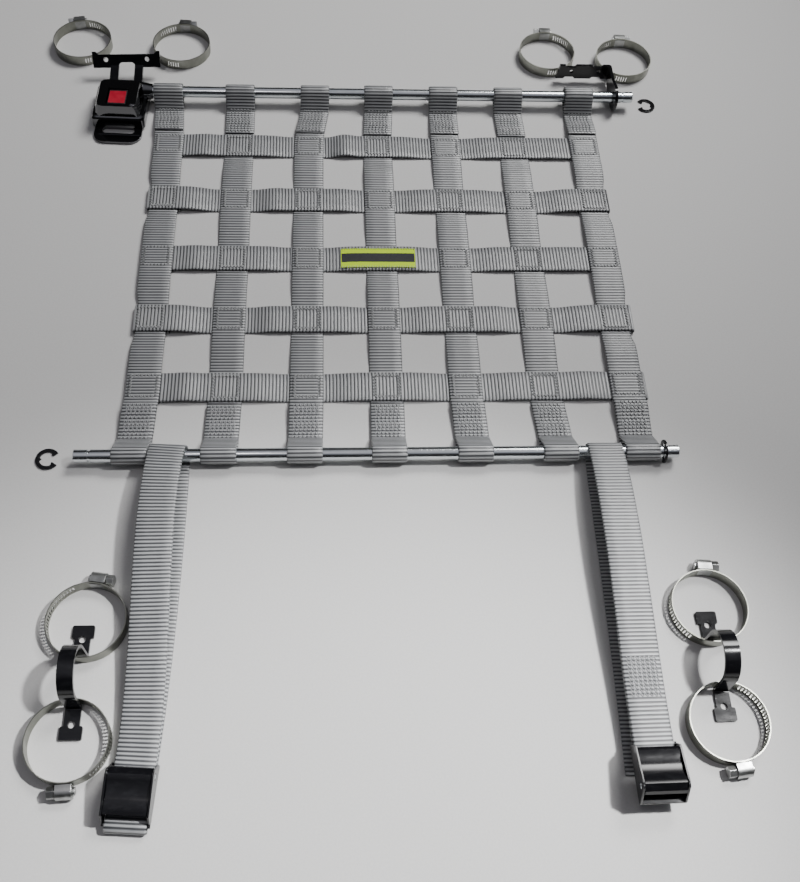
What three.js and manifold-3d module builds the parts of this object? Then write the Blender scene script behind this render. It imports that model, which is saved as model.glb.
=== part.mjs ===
// A racing window net laid out flat with its rods, mounting straps, latch and cage fixings.
// Millimetres, +Z up, +X along the rods, +Y from the mounting straps towards the latch.
// The origin is on the table, under the crossing of the middle vertical and middle cross strap.

import * as THREE from 'three';
import { mergeVertices } from 'three/addons/utils/BufferGeometryUtils.js';
import Module from 'manifold-3d';

const wasm = await Module();
wasm.setup();

// Driving dimensions.
const GAP = 0.3;
const WEBBING_WIDTH = 25.4;
const WEBBING = 1.5;
const LAYER = WEBBING + GAP;
const CROSSING_HALF = WEBBING_WIDTH / 2 + 2;

const ROD_RADIUS = 4.76;
const ROD_GROOVE_RADIUS = 3.9;
const ROD_GROOVE_WIDTH = 1.8;
const TOP_ROD = { y: 182, z: 11.5, from: -202.6, to: 231, grooves: [221.5] };
const CLIP_ON_ROD_X = 198.4;
const BOTTOM_ROD = { y: -187, z: 8.8, from: -222, to: 209, grooves: [-211, CLIP_ON_ROD_X] };
const LOOP_RADIUS = ROD_RADIUS + GAP + WEBBING / 2;

// Where the folded-back tails of the vertical straps start (rod side) and end (net side).
const TOP_TAIL = { from: 168, to: 140.8 };
const BOTTOM_TAIL = { from: -170, to: -140.6 };

// Vertical straps: centre line at the top rod, through the net, and at the bottom rod, how
// loosely each goes round the top rod, and how far it stands off the table between rows,
// from the bottom gap up.
const COLUMNS = [
  { name: 'strap_v1', top: -183, middle: -180, bottom: -183, slack: 0.6, rise: [0.3, 0.4, 0.3, 0.6] },
  { name: 'strap_v2', top: -120.4, middle: -120, bottom: -121.2, slack: 0.2, rise: [0.3, 0.3, 0.4, 0.6] },
  { name: 'strap_v3', top: -54.6, middle: -60, bottom: -60.6, slack: 0.2, rise: [0.3, 0.4, 0.5, 0.9] },
  { name: 'strap_v4', top: 1.5, middle: -0.4, bottom: -0.6, slack: 0.8, rise: [0.4, 1.1, 0.4, 1.2] },
  { name: 'strap_v5', top: 59.2, middle: 59, bottom: 61, slack: 0.8, rise: [0.8, 0.4, 0.8, 0.4] },
  { name: 'strap_v6', top: 117.4, middle: 119, bottom: 122.6, slack: 0.5, rise: [0.3, 0.4, 0.4, 0.9] },
  { name: 'strap_v7', top: 181.1, middle: 181.5, bottom: 182, slack: 1.9, rise: [1.4, 0.3, 0.7, 0.9] },
];

// Cross straps from the top row down: height on the page, how far each end's fold stands
// outside the edge of the outer strap, and the rise between columns, from the left gap on.
const ROWS = [
  { name: 'strap_h1', y: 126, left: -1.6, right: -1.2, rise: [0.9, 0.3, 2.6, 0.3, 0.4, 0.4] },
  { name: 'strap_h2', y: 63.1, left: 0, right: 0, rise: [0.3, 1.2, 0.8, 0.4, 0.3, 0.5] },
  { name: 'strap_h3', y: -0.6, left: -2, right: -1, rise: [0.8, 0.4, 0.4, 0.4, 0.5, 0.4] },
  { name: 'strap_h4', y: -62, left: 0, right: 1.6, rise: [0.3, 0.8, 0.4, 0.4, 1.1, 0.4] },
  { name: 'strap_h5', y: -125.2, left: -1.6, right: 1, rise: [1.1, 0.4, 0.3, 0.4, 0.4, 1] },
];
// Where a cross strap's end wraps an outer strap, its edge is drawn in by the sewing.
const DRAWN_IN = { depth: 1.6, fade: 13 };
const CROSS_TAIL = 26.4;

// The label sewn on the middle cross strap.
const LABEL = { x: -3.4, y: -1.1, length: 60, width: 19.6, thickness: 0.9 };

// Mounting straps and their cam buckles. The lower run lies on the table and the upper run
// bows up on its way from the rod to the buckle. A strap that leans needs some slack to go
// round the rod. A buckle is placed by its cam end.
const MOUNT_LOOP = { leaveAngle: 75, foot: 22 };
const MOUNTS = [
  {
    side: 'left', lowerX: -154.4, upperX: -156.8, lean: 0.085, slack: 1.4,
    buckle: { x: -160.4, y: -399.6, z: 3.6, turn: -4.5, facing: -1 },
  },
  {
    side: 'right', lowerX: 154, upperX: 154.4, lean: 0, slack: 0,
    buckle: { x: 155, y: -433.2, z: 12, turn: 0.6, facing: 1 },
  },
];
const FREE_END = { x: 150.4, y: -414, slope: 0.03 };

// Cam buckle, along its own length from the cam end to the webbing bar.
const BUCKLE = { length: 36.5, width: 28.8, wall: 1.3, base: 1.8, slotFrom: 26.4, slotTo: 32.4, slotWidth: 26.2 };
const CAM = { at: 8.8, height: 9.4, radius: 5.2, hole: 2, pin: 1.6 };
// Side wall and lever flap, as (along, up).
const BUCKLE_SIDE = [[0, 0], [34.8, 0], [34.8, 4.5], [32.4, 11], [9.8, 15.6], [6.4, 14.8], [0, 2.6]];
const LEVER_FLAP = [
  [9, 15], [12.4, 14.1], [17, 11.4], [24, 10.3], [29.4, 11.4], [31.6, 10.5], [31.2, 9.1], [24, 8.2], [16, 8.6],
];

// Push-button latch, its case drawn from the table up, and the tongue that slides into it.
const LATCH = { x: -223.4, y: 168, turn: -2.5, base: 2.4, top: 24, pocketFloor: 14.9, channel: 15.9 };
const LATCH_BASE = { half: 20.4, from: -39.4, to: 22, frontCorner: 10, backCorner: 3 };
const CASE_LEVELS = [
  { z: 2.7, half: 22.6, from: -22, to: 22, corner: 3 },
  { z: 10.4, half: 22.6, from: -21.4, to: 22, corner: 3 },
  { z: 12, half: 21.8, from: -20.6, to: 21, corner: 4 },
  { z: 12.6, half: 19.6, from: -19.6, to: 18, corner: 5 },
  { z: 20, half: 18.2, from: -19.3, to: 16.6, corner: 5 },
  { z: 23, half: 16.6, from: -18.6, to: 14.8, corner: 4.5 },
  { z: 24, half: 13.4, from: -17.8, to: 11.6, corner: 3 },
];
const LATCH_SLOT = { half: 13.7, from: -28.4, to: -21.6, radius: 3 };
const BOSS = { from: -207, to: -196.4, fromRadius: 8.6, toRadius: 6.2, bore: 5.06, endGap: 1.6 };
const TONGUE = {
  x: 2.7, z: 10.5, thickness: 3, outer: 14.2, inner: 6.9, back: -4, window: 6, bend: 46.8, tilt: 55,
  turn: 5, turnedAt: 9, play: 0.4,
};
const TONGUE_BAR = { half: 29.2, width: 10.8, lug: 13.2, hole: 2.1, holeAt: 18, holeUp: 6.4 };
const BUTTON = { width: 16, length: 18.6, y: -6.6, bottom: 17.9, top: 22.9, clearance: 0.5 };

// Bracket on the right end of the top rod: a strip folded once, standing on edge.
const BRACKET = {
  x: 213.2, thickness: 2.6, low: 4.5, high: 18.5, bar: 214.8, barFrom: 166.2, eye: 11.2, notch: 1.9,
  holes: [179.6, 204.6], holeZ: 12.2, holeRadius: 1.9, fold: 0.3,
};

// Hoops, along their own length, and worm-drive clamps, each turned to put its housing at
// the given angle round the band; the screw head is on the given side.
const HOOPS = [
  { name: 'hoop_left', x: -202.1, y: -346.6, turn: -0.4 },
  { name: 'hoop_right', x: 207.9, y: -344.7, turn: 0.2 },
];
const HOOP = { width: 9.9, thickness: 2, leg: 16.25, shoulder: 18, fold: 2, end: 37 };
const HOOP_HEAD = { from: 28.2, half: 7, hole: 2.25, holeAt: 27.4 };
const CLAMP = { radius: 25.4, band: 0.7, height: 9.5, segments: 16 };
const HOUSING = { from: 26.1, axis: 29.8, height: 4.9, radius: 4.7, length: 10, bore: 2.9 };
const SCREW = { radius: 2.6, tip: -6.5, head: 5.4, headLength: 4.6, headRadius: 4.04 };
const CLAMPS = [
  { name: 'upper_left_1', x: -266.7, y: 253.6, housing: 102, head: -1 },
  { name: 'upper_left_2', x: -177.1, y: 250.5, housing: 86.5, head: 1 },
  { name: 'upper_right_1', x: 161.2, y: 247.3, housing: 88, head: -1 },
  { name: 'upper_right_2', x: 232.5, y: 239.4, housing: 88.5, head: 1 },
  { name: 'lower_left_1', x: -199.7, y: -308.3, housing: 81, head: 1 },
  { name: 'lower_left_2', x: -202.5, y: -385.2, housing: -87, head: 1 },
  { name: 'lower_right_1', x: 209.5, y: -305.9, housing: 86, head: 1 },
  { name: 'lower_right_2', x: 207.3, y: -383.4, housing: -83, head: 1 },
];

// Retaining clips: one on the bottom rod and two lying by the ends of the rods.
const CLIP = { outer: 8.5, inner: 5.7, prong: 4.2, thickness: 1.2, mouth: 70 };
const LOOSE_CLIPS = [
  { name: 'e_clip_left', x: -242, y: -184.6, turn: 0 },
  { name: 'e_clip_right', x: 246.4, y: 183.8, turn: 174.6 },
];

// Materials.
const finish = (color, roughness, metalness) =>
  new THREE.MeshStandardMaterial({ color, roughness, metalness });
const MATERIALS = {
  webbing: () => finish(0xa3a6a8, 0.55, 0),
  label: () => finish(0xb4d41c, 0.6, 0),
  rod: () => finish(0xc6cdd0, 0.22, 1),
  chrome: () => finish(0xd8dadc, 0.08, 1),
  black: () => finish(0x14161a, 0.35, 0.2),
  button: () => finish(0xa01422, 0.4, 0),
  steel: () => finish(0xb5b4ac, 0.32, 1),
};

const root = new THREE.Group();

function addPiece(name, geometry, material, parent = root) {
  const mesh = new THREE.Mesh(geometry, material());
  mesh.name = name;
  parent.add(mesh);
  return mesh;
}

// Small helpers for closed meshes.
const RAD = Math.PI / 180;
const smooth = (t) => t * t * (3 - 2 * t);
const mix = (a, b, t) => a + (b - a) * t;
const clamp01 = (t) => Math.min(1, Math.max(0, t));

function toManifold(geometry) {
  const plain = geometry.clone();
  plain.deleteAttribute('normal');
  plain.deleteAttribute('uv');
  const merged = mergeVertices(plain, 1e-4);
  return new wasm.Manifold(new wasm.Mesh({
    numProp: 3,
    vertProperties: new Float32Array(merged.attributes.position.array),
    triVerts: new Uint32Array(merged.index.array),
  }));
}

function fromManifold(solid) {
  const mesh = solid.getMesh();
  const geometry = new THREE.BufferGeometry();
  geometry.setAttribute('position', new THREE.BufferAttribute(mesh.vertProperties, 3));
  geometry.setIndex(new THREE.BufferAttribute(mesh.triVerts, 1));
  return geometry;
}

const join = (...geometries) =>
  fromManifold(geometries.map(toManifold).reduce((whole, next) => whole.add(next)));

const cut = (geometry, ...tools) =>
  fromManifold(tools.map(toManifold).reduce((whole, tool) => whole.subtract(tool), toManifold(geometry)));

function box(x0, x1, y0, y1, z0, z1) {
  const geometry = new THREE.BoxGeometry(x1 - x0, y1 - y0, z1 - z0);
  return geometry.translate((x0 + x1) / 2, (y0 + y1) / 2, (z0 + z1) / 2);
}

function outline(points) {
  const corners = points.map(([a, b]) => new THREE.Vector2(a, b));
  return new THREE.Shape(THREE.ShapeUtils.isClockWise(corners) ? corners.reverse() : corners);
}

function roundedRectangle(halfWidth, halfLength, radius) {
  const shape = new THREE.Shape();
  shape.absarc(halfWidth - radius, -halfLength + radius, radius, -Math.PI / 2, 0);
  shape.absarc(halfWidth - radius, halfLength - radius, radius, 0, Math.PI / 2);
  shape.absarc(-halfWidth + radius, halfLength - radius, radius, Math.PI / 2, Math.PI);
  shape.absarc(-halfWidth + radius, -halfLength + radius, radius, Math.PI, Math.PI * 1.5);
  shape.closePath();
  return shape;
}

const extrude = (shape, depth, curveSegments = 3) =>
  new THREE.ExtrudeGeometry(shape, { depth, bevelEnabled: false, curveSegments });

// A plate standing on edge: its shape, drawn as (y, z), pushed out along X from x0.
function standingPlate(shape, x0, thickness, curveSegments) {
  const geometry = extrude(shape, thickness, curveSegments);
  return geometry.rotateX(Math.PI / 2).rotateZ(Math.PI / 2).translate(x0, 0, 0);
}

// A round hole for a shape.
function roundHole(x, y, radius) {
  const hole = new THREE.Path();
  hole.absarc(x, y, radius, 0, 2 * Math.PI, true);
  return hole;
}

// A round bar along X through (y, z).
function barAlongX(radius, x0, x1, y, z, sides = 12) {
  const geometry = new THREE.CylinderGeometry(radius, radius, x1 - x0, sides);
  return geometry.rotateZ(Math.PI / 2).translate((x0 + x1) / 2, y, z);
}

// A band of even thickness through a row of stations. Each station has a centre, a unit
// vector across the band, a unit normal and a width.
function bandGeometry(stations, thickness) {
  const positions = [];
  const corners = [[-1, -1], [1, -1], [1, 1], [-1, 1]];
  for (const { centre, across, normal, width } of stations) {
    for (const [side, face] of corners) {
      const point = centre.clone();
      point.addScaledVector(across, side * width / 2);
      point.addScaledVector(normal, face * thickness / 2);
      positions.push(point.x, point.y, point.z);
    }
  }
  const last = (stations.length - 1) * 4;
  let faces = [[0, 1, 2], [0, 2, 3], [last, last + 2, last + 1], [last, last + 3, last + 2]];
  for (let start = 0; start < last; start += 4) {
    for (let corner = 0; corner < 4; corner += 1) {
      const a = start + corner;
      const b = start + (corner + 1) % 4;
      faces.push([a, a + 4, b], [b, a + 4, b + 4]);
    }
  }
  const { across, normal } = stations[0];
  const along = stations[1].centre.clone().sub(stations[0].centre);
  if (across.clone().cross(normal).dot(along) > 0) {
    faces = faces.map(([a, b, c]) => [a, c, b]);
  }
  const geometry = new THREE.BufferGeometry();
  geometry.setAttribute('position', new THREE.Float32BufferAttribute(positions, 3));
  geometry.setIndex(faces.flat());
  return geometry;
}

// Lays a band on a path of {x, y, z, heading}, where heading is the way the webbing runs
// seen from above, as a plane angle. A point may also state a width of its own.
function layBand(path, thickness, width = WEBBING_WIDTH) {
  const stations = path.map((point, i) => {
    const before = path[Math.max(0, i - 1)];
    const after = path[Math.min(path.length - 1, i + 1)];
    const hx = Math.cos(point.heading);
    const hy = Math.sin(point.heading);
    const run = (after.x - before.x) * hx + (after.y - before.y) * hy;
    const rise = after.z - before.z;
    const length = Math.hypot(run, rise);
    return {
      centre: new THREE.Vector3(point.x, point.y, point.z),
      across: new THREE.Vector3(hy, -hx, 0),
      normal: new THREE.Vector3(-hx * rise, -hy * rise, run).divideScalar(length),
      width: point.width ?? width,
    };
  });
  return bandGeometry(stations, thickness);
}

const UP_THE_PAGE = Math.PI / 2;

// Points of an arc in the (s, z) plane.
function arc(s, z, radius, fromAngle, toAngle, steps) {
  return Array.from({ length: steps + 1 }, (_, i) => {
    const angle = mix(fromAngle, toAngle, i / steps);
    return { s: s + radius * Math.cos(angle), z: z + radius * Math.sin(angle) };
  });
}

// The angle at which a straight run from a point touches a circle, on the chosen side.
function tangentAngle(point, centre, radius, side) {
  const away = Math.atan2(point.z - centre.z, point.s - centre.s);
  const distance = Math.hypot(point.z - centre.z, point.s - centre.s);
  return away + side * Math.acos(radius / distance);
}

// The underside of a strap, from its level plateaus at the crossings and the rise between them.
function undersideAt(plateaus, rises, s) {
  const next = plateaus.findIndex((plateau) => s < plateau.at + CROSSING_HALF);
  if (next < 0) return plateaus[plateaus.length - 1].level;
  if (next === 0 || s > plateaus[next].at - CROSSING_HALF) return plateaus[next].level;
  const start = plateaus[next - 1].at + CROSSING_HALF;
  const end = plateaus[next].at - CROSSING_HALF;
  const t = (s - start) / (end - start);
  const bulge = rises[next - 1] * Math.sin(Math.PI * t) ** 2;
  return mix(plateaus[next - 1].level, plateaus[next].level, smooth(t)) + bulge;
}

// Sample places along a strap: close together where it climbs, and at the ends of crossings.
function samplePlaces(plateaus, from, to) {
  const places = new Set([from, to]);
  const stepsInGap = 5;
  for (let i = 0; i < plateaus.length; i += 1) {
    places.add(plateaus[i].at - CROSSING_HALF);
    places.add(plateaus[i].at + CROSSING_HALF);
    if (i === 0) continue;
    const start = plateaus[i - 1].at + CROSSING_HALF;
    const end = plateaus[i].at - CROSSING_HALF;
    for (let k = 1; k < stepsInGap; k += 1) places.add(mix(start, end, k / stepsInGap));
  }
  return [...places].filter((place) => place >= from && place <= to).sort((a, b) => a - b);
}

// Woven net.
const isOuter = (column) => column === 0 || column === COLUMNS.length - 1;
const columnIsOver = (column, row) => column % 2 === row % 2;

function columnLevel(column, row) {
  if (!isOuter(column)) return columnIsOver(column, row) ? LAYER : 0;
  return columnIsOver(column, row) ? 2 * LAYER : LAYER;
}

function rowLevel(column, row) {
  if (!isOuter(column)) return columnIsOver(column, row) ? 0 : LAYER;
  return columnIsOver(column, row) ? LAYER : 2 * LAYER;
}

function columnCentre(column, s) {
  const { top, middle, bottom } = column;
  const highest = ROWS[0].y;
  const lowest = ROWS[ROWS.length - 1].y;
  if (s > highest) return mix(middle, top, smooth(clamp01((s - highest) / (TOP_ROD.y - highest))));
  if (s < lowest) return mix(middle, bottom, smooth(clamp01((lowest - s) / (lowest - BOTTOM_ROD.y))));
  return middle;
}

// How far the outer edge of an outer strap is drawn in at a given height on the page.
function drawnIn(index, s) {
  if (!isOuter(index)) return 0;
  const nearest = Math.min(...ROWS.filter((row, r) => !columnIsOver(index, r)).map((row) => Math.abs(s - row.y)));
  return DRAWN_IN.depth * (1 - smooth(clamp01((nearest - CROSSING_HALF) / DRAWN_IN.fade)));
}

function verticalStrap(index) {
  const column = COLUMNS[index];
  const plateaus = ROWS.map((row, r) => ({ at: row.y, level: columnLevel(index, r) })).reverse();
  const highest = plateaus[plateaus.length - 1];
  const lowest = plateaus[0];
  const topEdge = highest.at + CROSSING_HALF;
  const bottomEdge = lowest.at - CROSSING_HALF;
  const settle = (level, from, to, s) => mix(level, 0, smooth(clamp01((s - from) / (to - from))));
  const under = (s) => {
    if (s > topEdge) return settle(highest.level, topEdge, TOP_TAIL.from, s);
    if (s < bottomEdge) return settle(lowest.level, bottomEdge, BOTTOM_TAIL.from, s);
    return undersideAt(plateaus, column.rise, s);
  };
  const place = (s, layer) => ({ s, z: under(s) + layer * LAYER + WEBBING / 2 });
  const tailSteps = 3;
  const arcSteps = 11;
  const tailPlaces = (tail) =>
    Array.from({ length: tailSteps + 1 }, (_, i) => mix(tail.to, tail.from, i / tailSteps));
  const bottomPlaces = tailPlaces(BOTTOM_TAIL);
  const topPlaces = tailPlaces(TOP_TAIL);
  const netPlaces = samplePlaces(plateaus, bottomPlaces[0], topPlaces[0]).slice(1, -1);

  const bottom = { s: BOTTOM_ROD.y, z: BOTTOM_ROD.z };
  const bottomOver = tangentAngle(place(BOTTOM_TAIL.from, 1), bottom, LOOP_RADIUS, 1);
  const bottomUnder = tangentAngle(place(BOTTOM_TAIL.from, 0), bottom, LOOP_RADIUS, -1);
  const top = { s: TOP_ROD.y, z: TOP_ROD.z };
  const topRadius = LOOP_RADIUS + column.slack;
  const topUnder = tangentAngle(place(TOP_TAIL.from, 0), top, topRadius, 1);
  const topOver = tangentAngle(place(TOP_TAIL.from, 1), top, topRadius, -1);

  const path = [
    ...bottomPlaces.map((s) => place(s, 1)),
    ...arc(bottom.s, bottom.z, LOOP_RADIUS, bottomOver, bottomUnder + 2 * Math.PI, arcSteps),
    ...[...bottomPlaces].reverse().map((s) => place(s, 0)),
    ...netPlaces.map((s) => place(s, 0)),
    ...topPlaces.map((s) => place(s, 0)),
    ...arc(top.s, top.z, topRadius, topUnder, topOver + 2 * Math.PI, arcSteps),
    ...[...topPlaces].reverse().map((s) => place(s, 1)),
  ];
  const inward = index === 0 ? 0.5 : -0.5;
  const points = path.map(({ s, z }) => {
    const drawn = drawnIn(index, s);
    const x = columnCentre(column, s) + inward * drawn;
    return { x, y: s, z, heading: UP_THE_PAGE, width: WEBBING_WIDTH - drawn };
  });
  return layBand(points, WEBBING);
}

// The fold at a cross strap's end, from its upper layer down to its tail on the table. It
// keeps its gap to the edge of the strap that it may go round, and is a little flattened.
function endFold(edge, outward, upper) {
  const lower = WEBBING / 2;
  const reach = WEBBING / 2 + GAP;
  const corner = 0.32;
  return [
    { s: edge, z: upper },
    { s: edge + outward * (reach - 0.1), z: upper - corner },
    { s: edge + outward * (reach + 0.1), z: (upper + lower) / 2 },
    { s: edge + outward * (reach - 0.1), z: lower + corner },
    { s: edge, z: lower },
  ];
}

function crossStrap(index) {
  const row = ROWS[index];
  const plateaus = COLUMNS.map((column, c) => ({ at: column.middle, level: rowLevel(c, index) }));
  const under = (s) => undersideAt(plateaus, row.rise, s);
  const last = COLUMNS.length - 1;
  const half = WEBBING_WIDTH / 2;
  const left = COLUMNS[0].middle - half + drawnIn(0, row.y) - row.left;
  const right = COLUMNS[last].middle + half - drawnIn(last, row.y) + row.right;
  const upper = rowLevel(0, index) + WEBBING / 2;
  const places = samplePlaces(plateaus, left, right);
  const path = [
    { s: left + CROSS_TAIL, z: WEBBING / 2 },
    ...endFold(left, -1, upper).reverse(),
    ...places.slice(1, -1).map((s) => ({ s, z: under(s) + WEBBING / 2 })),
    ...endFold(right, 1, upper),
    { s: right - CROSS_TAIL, z: WEBBING / 2 },
  ];
  return layBand(path.map(({ s, z }) => ({ x: s, y: row.y, z, heading: 0 })), WEBBING);
}

COLUMNS.forEach((column, i) => addPiece(column.name, verticalStrap(i), MATERIALS.webbing));
ROWS.forEach((row, i) => addPiece(row.name, crossStrap(i), MATERIALS.webbing));

function labelPiece() {
  const rowIndex = 2;
  const row = ROWS[rowIndex];
  const plateaus = COLUMNS.map((column, c) => ({ at: column.middle, level: rowLevel(c, rowIndex) }));
  const steps = 14;
  const lift = WEBBING + GAP + LABEL.thickness / 2;
  const path = Array.from({ length: steps + 1 }, (_, i) => {
    const x = LABEL.x + mix(-LABEL.length / 2, LABEL.length / 2, i / steps);
    return { x, y: LABEL.y, z: undersideAt(plateaus, row.rise, x) + lift, heading: 0 };
  });
  return layBand(path, LABEL.thickness, LABEL.width);
}

addPiece('label', labelPiece(), MATERIALS.label);

// Rods, turned with chamfered ends and a groove for each retaining clip.
function turnedRod(rod) {
  const chamfer = 0.8;
  const half = ROD_GROOVE_WIDTH / 2;
  const profile = [[0, rod.from], [ROD_RADIUS - chamfer, rod.from], [ROD_RADIUS, rod.from + chamfer]];
  for (const at of rod.grooves) {
    profile.push([ROD_RADIUS, at - half], [ROD_GROOVE_RADIUS, at - half]);
    profile.push([ROD_GROOVE_RADIUS, at + half], [ROD_RADIUS, at + half]);
  }
  profile.push([ROD_RADIUS, rod.to - chamfer], [ROD_RADIUS - chamfer, rod.to], [0, rod.to]);
  const sides = 20;
  const geometry = new THREE.LatheGeometry(profile.map(([r, x]) => new THREE.Vector2(r, x)), sides);
  return geometry.rotateZ(-Math.PI / 2).translate(0, rod.y, rod.z);
}

addPiece('rod_top', turnedRod(TOP_ROD), MATERIALS.rod);
addPiece('rod_bottom', turnedRod(BOTTOM_ROD), MATERIALS.rod);

// Retaining clip: an open ring with three prongs, drawn flat with its mouth towards +X.
function clipShape() {
  const mouth = CLIP.mouth * RAD / 2;
  const prongHalf = 0.2;
  const tipProng = 0.44;
  const shape = new THREE.Shape();
  shape.absarc(0, 0, CLIP.outer, mouth, 2 * Math.PI - mouth);
  const inner = (angle, radius) => shape.lineTo(radius * Math.cos(angle), radius * Math.sin(angle));
  const steps = 22;
  const end = 2 * Math.PI - mouth;
  for (let i = 0; i <= steps; i += 1) {
    const angle = mix(end, mouth, i / steps);
    const nearTip = Math.min(angle - mouth, end - angle) < tipProng;
    const nearBack = Math.abs(angle - Math.PI) < prongHalf;
    inner(angle, nearTip || nearBack ? CLIP.prong : CLIP.inner);
  }
  shape.closePath();
  return shape;
}

const clipGeometry = () => extrude(clipShape(), CLIP.thickness, 10);
for (const { name, x, y, turn } of LOOSE_CLIPS) {
  addPiece(name, clipGeometry().rotateZ(turn * RAD).translate(x, y, 0), MATERIALS.black);
}
const clipOnRod = clipGeometry().rotateY(Math.PI / 2).translate(CLIP_ON_ROD_X - CLIP.thickness / 2, 0, 0);
addPiece('e_clip_rod', clipOnRod.translate(0, BOTTOM_ROD.y, BOTTOM_ROD.z), MATERIALS.black);

// Mounting straps and their buckles.
function hermite(a, b, slopeA, slopeB, t) {
  const square = t * t;
  const cube = square * t;
  return a * (2 * cube - 3 * square + 1) + slopeA * (cube - 2 * square + t)
    + b * (3 * square - 2 * cube) + slopeB * (cube - square);
}

// A place on a buckle's own centre line, u from its cam end, as a point to lay webbing on.
function onBuckle(buckle, u, z) {
  const turn = buckle.turn * RAD;
  const x = buckle.x - buckle.facing * u * Math.sin(turn);
  const y = buckle.y + buckle.facing * u * Math.cos(turn);
  return { x, y, z, heading: UP_THE_PAGE + turn };
}

// A run of webbing between two points, easing from one heading to the other. The rises are
// the slopes at its ends, in millimetres over the whole run.
function eased(from, to, riseFrom, riseTo, steps) {
  const down = to.y - from.y;
  const sway = (point) => down / Math.tan(point.heading);
  return Array.from({ length: steps + 1 }, (_, i) => {
    const t = i / steps;
    const x = (k) => hermite(from.x, to.x, sway(from), sway(to), k);
    const step = 0.01;
    const slope = (x(t + step) - x(t - step)) / (2 * step * down);
    return {
      x: x(t),
      y: mix(from.y, to.y, t),
      z: hermite(from.z, to.z, riseFrom, riseTo, t),
      heading: UP_THE_PAGE - Math.atan(slope),
    };
  });
}

const ON_TABLE = WEBBING / 2;
const leave = MOUNT_LOOP.leaveAngle * RAD;
const leaveSlope = 1 / Math.tan(leave);

// The loop round the bottom rod, from the run on the table to the upper run.
function mountLoop(mount) {
  const foot = { s: BOTTOM_ROD.y - MOUNT_LOOP.foot, z: ON_TABLE };
  const centre = { s: BOTTOM_ROD.y, z: BOTTOM_ROD.z };
  const radius = LOOP_RADIUS + mount.slack;
  const enter = tangentAngle(foot, centre, radius, 1);
  const round = arc(centre.s, centre.z, radius, enter + 2 * Math.PI, leave + 2 * Math.PI, 12);
  const count = round.length;
  return [foot, ...round].map(({ s, z }, i) => {
    const x = mix(mount.lowerX, mount.upperX, i / count);
    return { x, y: s, z, heading: UP_THE_PAGE - (mount.lean * i) / count };
  });
}

// Left strap: its sewn end goes round the buckle's bar and its upper run enters the cam end.
function leftMountStrap(mount) {
  const { buckle } = mount;
  const tail = ON_TABLE + LAYER;
  const overBar = buckle.z + BUCKLE.base + GAP + WEBBING / 2;
  const radius = (overBar - ON_TABLE) / 2;
  const loop = mountLoop(mount);
  const upperStart = loop[loop.length - 1];
  const throat = onBuckle(buckle, 0, overBar);
  const upperLength = upperStart.y - throat.y;
  const tableRun = eased(onBuckle(buckle, 0, ON_TABLE), loop[0], 0, 0, 8);
  const overTheEnd = arc(BUCKLE.length, ON_TABLE + radius, radius, Math.PI / 2, -Math.PI / 2, 8);
  const path = [
    ...[-30, -15, 0, 12].map((u) => onBuckle(buckle, u, tail)),
    onBuckle(buckle, BUCKLE.slotFrom + 1.2, tail),
    onBuckle(buckle, BUCKLE.slotTo - 0.6, overBar),
    ...overTheEnd.map(({ s, z }) => onBuckle(buckle, s, z)),
    ...[24, 12].map((u) => onBuckle(buckle, u, ON_TABLE)),
    ...tableRun,
    ...loop.slice(1),
    ...eased(upperStart, throat, leaveSlope * upperLength, 0, 20).slice(1),
    ...[10, 22].map((u) => onBuckle(buckle, u, overBar)),
  ];
  return layBand(path, WEBBING);
}

// Right strap: its upper run goes over the bar, turns down through the slot and is sewn back
// under itself; its other run ends plainly on the table below the buckle.
function rightMountStrap(mount) {
  const { buckle } = mount;
  const overBar = buckle.z + BUCKLE.base + GAP + WEBBING / 2;
  const underBar = buckle.z - GAP - WEBBING / 2;
  const radius = (overBar - underBar) / 2;
  const loop = mountLoop(mount);
  const upperStart = loop[loop.length - 1];
  const barEnd = onBuckle(buckle, BUCKLE.length + 2, overBar);
  const upperSteps = 20;
  const upper = eased(upperStart, barEnd, leaveSlope * (upperStart.y - barEnd.y), 0, upperSteps);
  const tailFrom = -7;
  const tailTo = -2;
  const below = upper.slice(tailFrom, tailTo).map((point) => ({ ...point, z: point.z - LAYER - GAP / 2 }));
  const slotTurn = arc(BUCKLE.slotTo, underBar + radius, radius, -Math.PI / 2, -Math.PI * 1.5, 8);
  const freeEnd = { x: FREE_END.x, y: FREE_END.y, z: ON_TABLE, heading: UP_THE_PAGE - FREE_END.slope };
  const path = [
    ...below,
    onBuckle(buckle, BUCKLE.length + 2.5, underBar),
    ...slotTurn.map(({ s, z }) => onBuckle(buckle, s, z)),
    ...upper.reverse(),
    ...loop.reverse().slice(1),
    ...eased(loop[loop.length - 1], freeEnd, 0, 0, 12).slice(1),
  ];
  return layBand(path, WEBBING);
}

// The frame, lever and pin of a cam buckle, in its own axes: length along Y, table down.
function buckleFrame() {
  const { length, width, wall, base, slotFrom, slotTo, slotWidth } = BUCKLE;
  const plate = outline([[-width / 2, 0], [width / 2, 0], [width / 2, length], [-width / 2, length]]);
  const half = slotWidth / 2;
  const slot = [[-half, slotFrom], [-half, slotTo], [half, slotTo], [half, slotFrom]];
  plate.holes.push(outline(slot));
  const side = outline(BUCKLE_SIDE);
  side.holes.push(roundHole(CAM.at, CAM.height, CAM.hole));
  const upright = (x) => standingPlate(side, x, wall, 6);
  return join(extrude(plate, base), upright(-width / 2), upright(width / 2 - wall));
}

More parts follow.
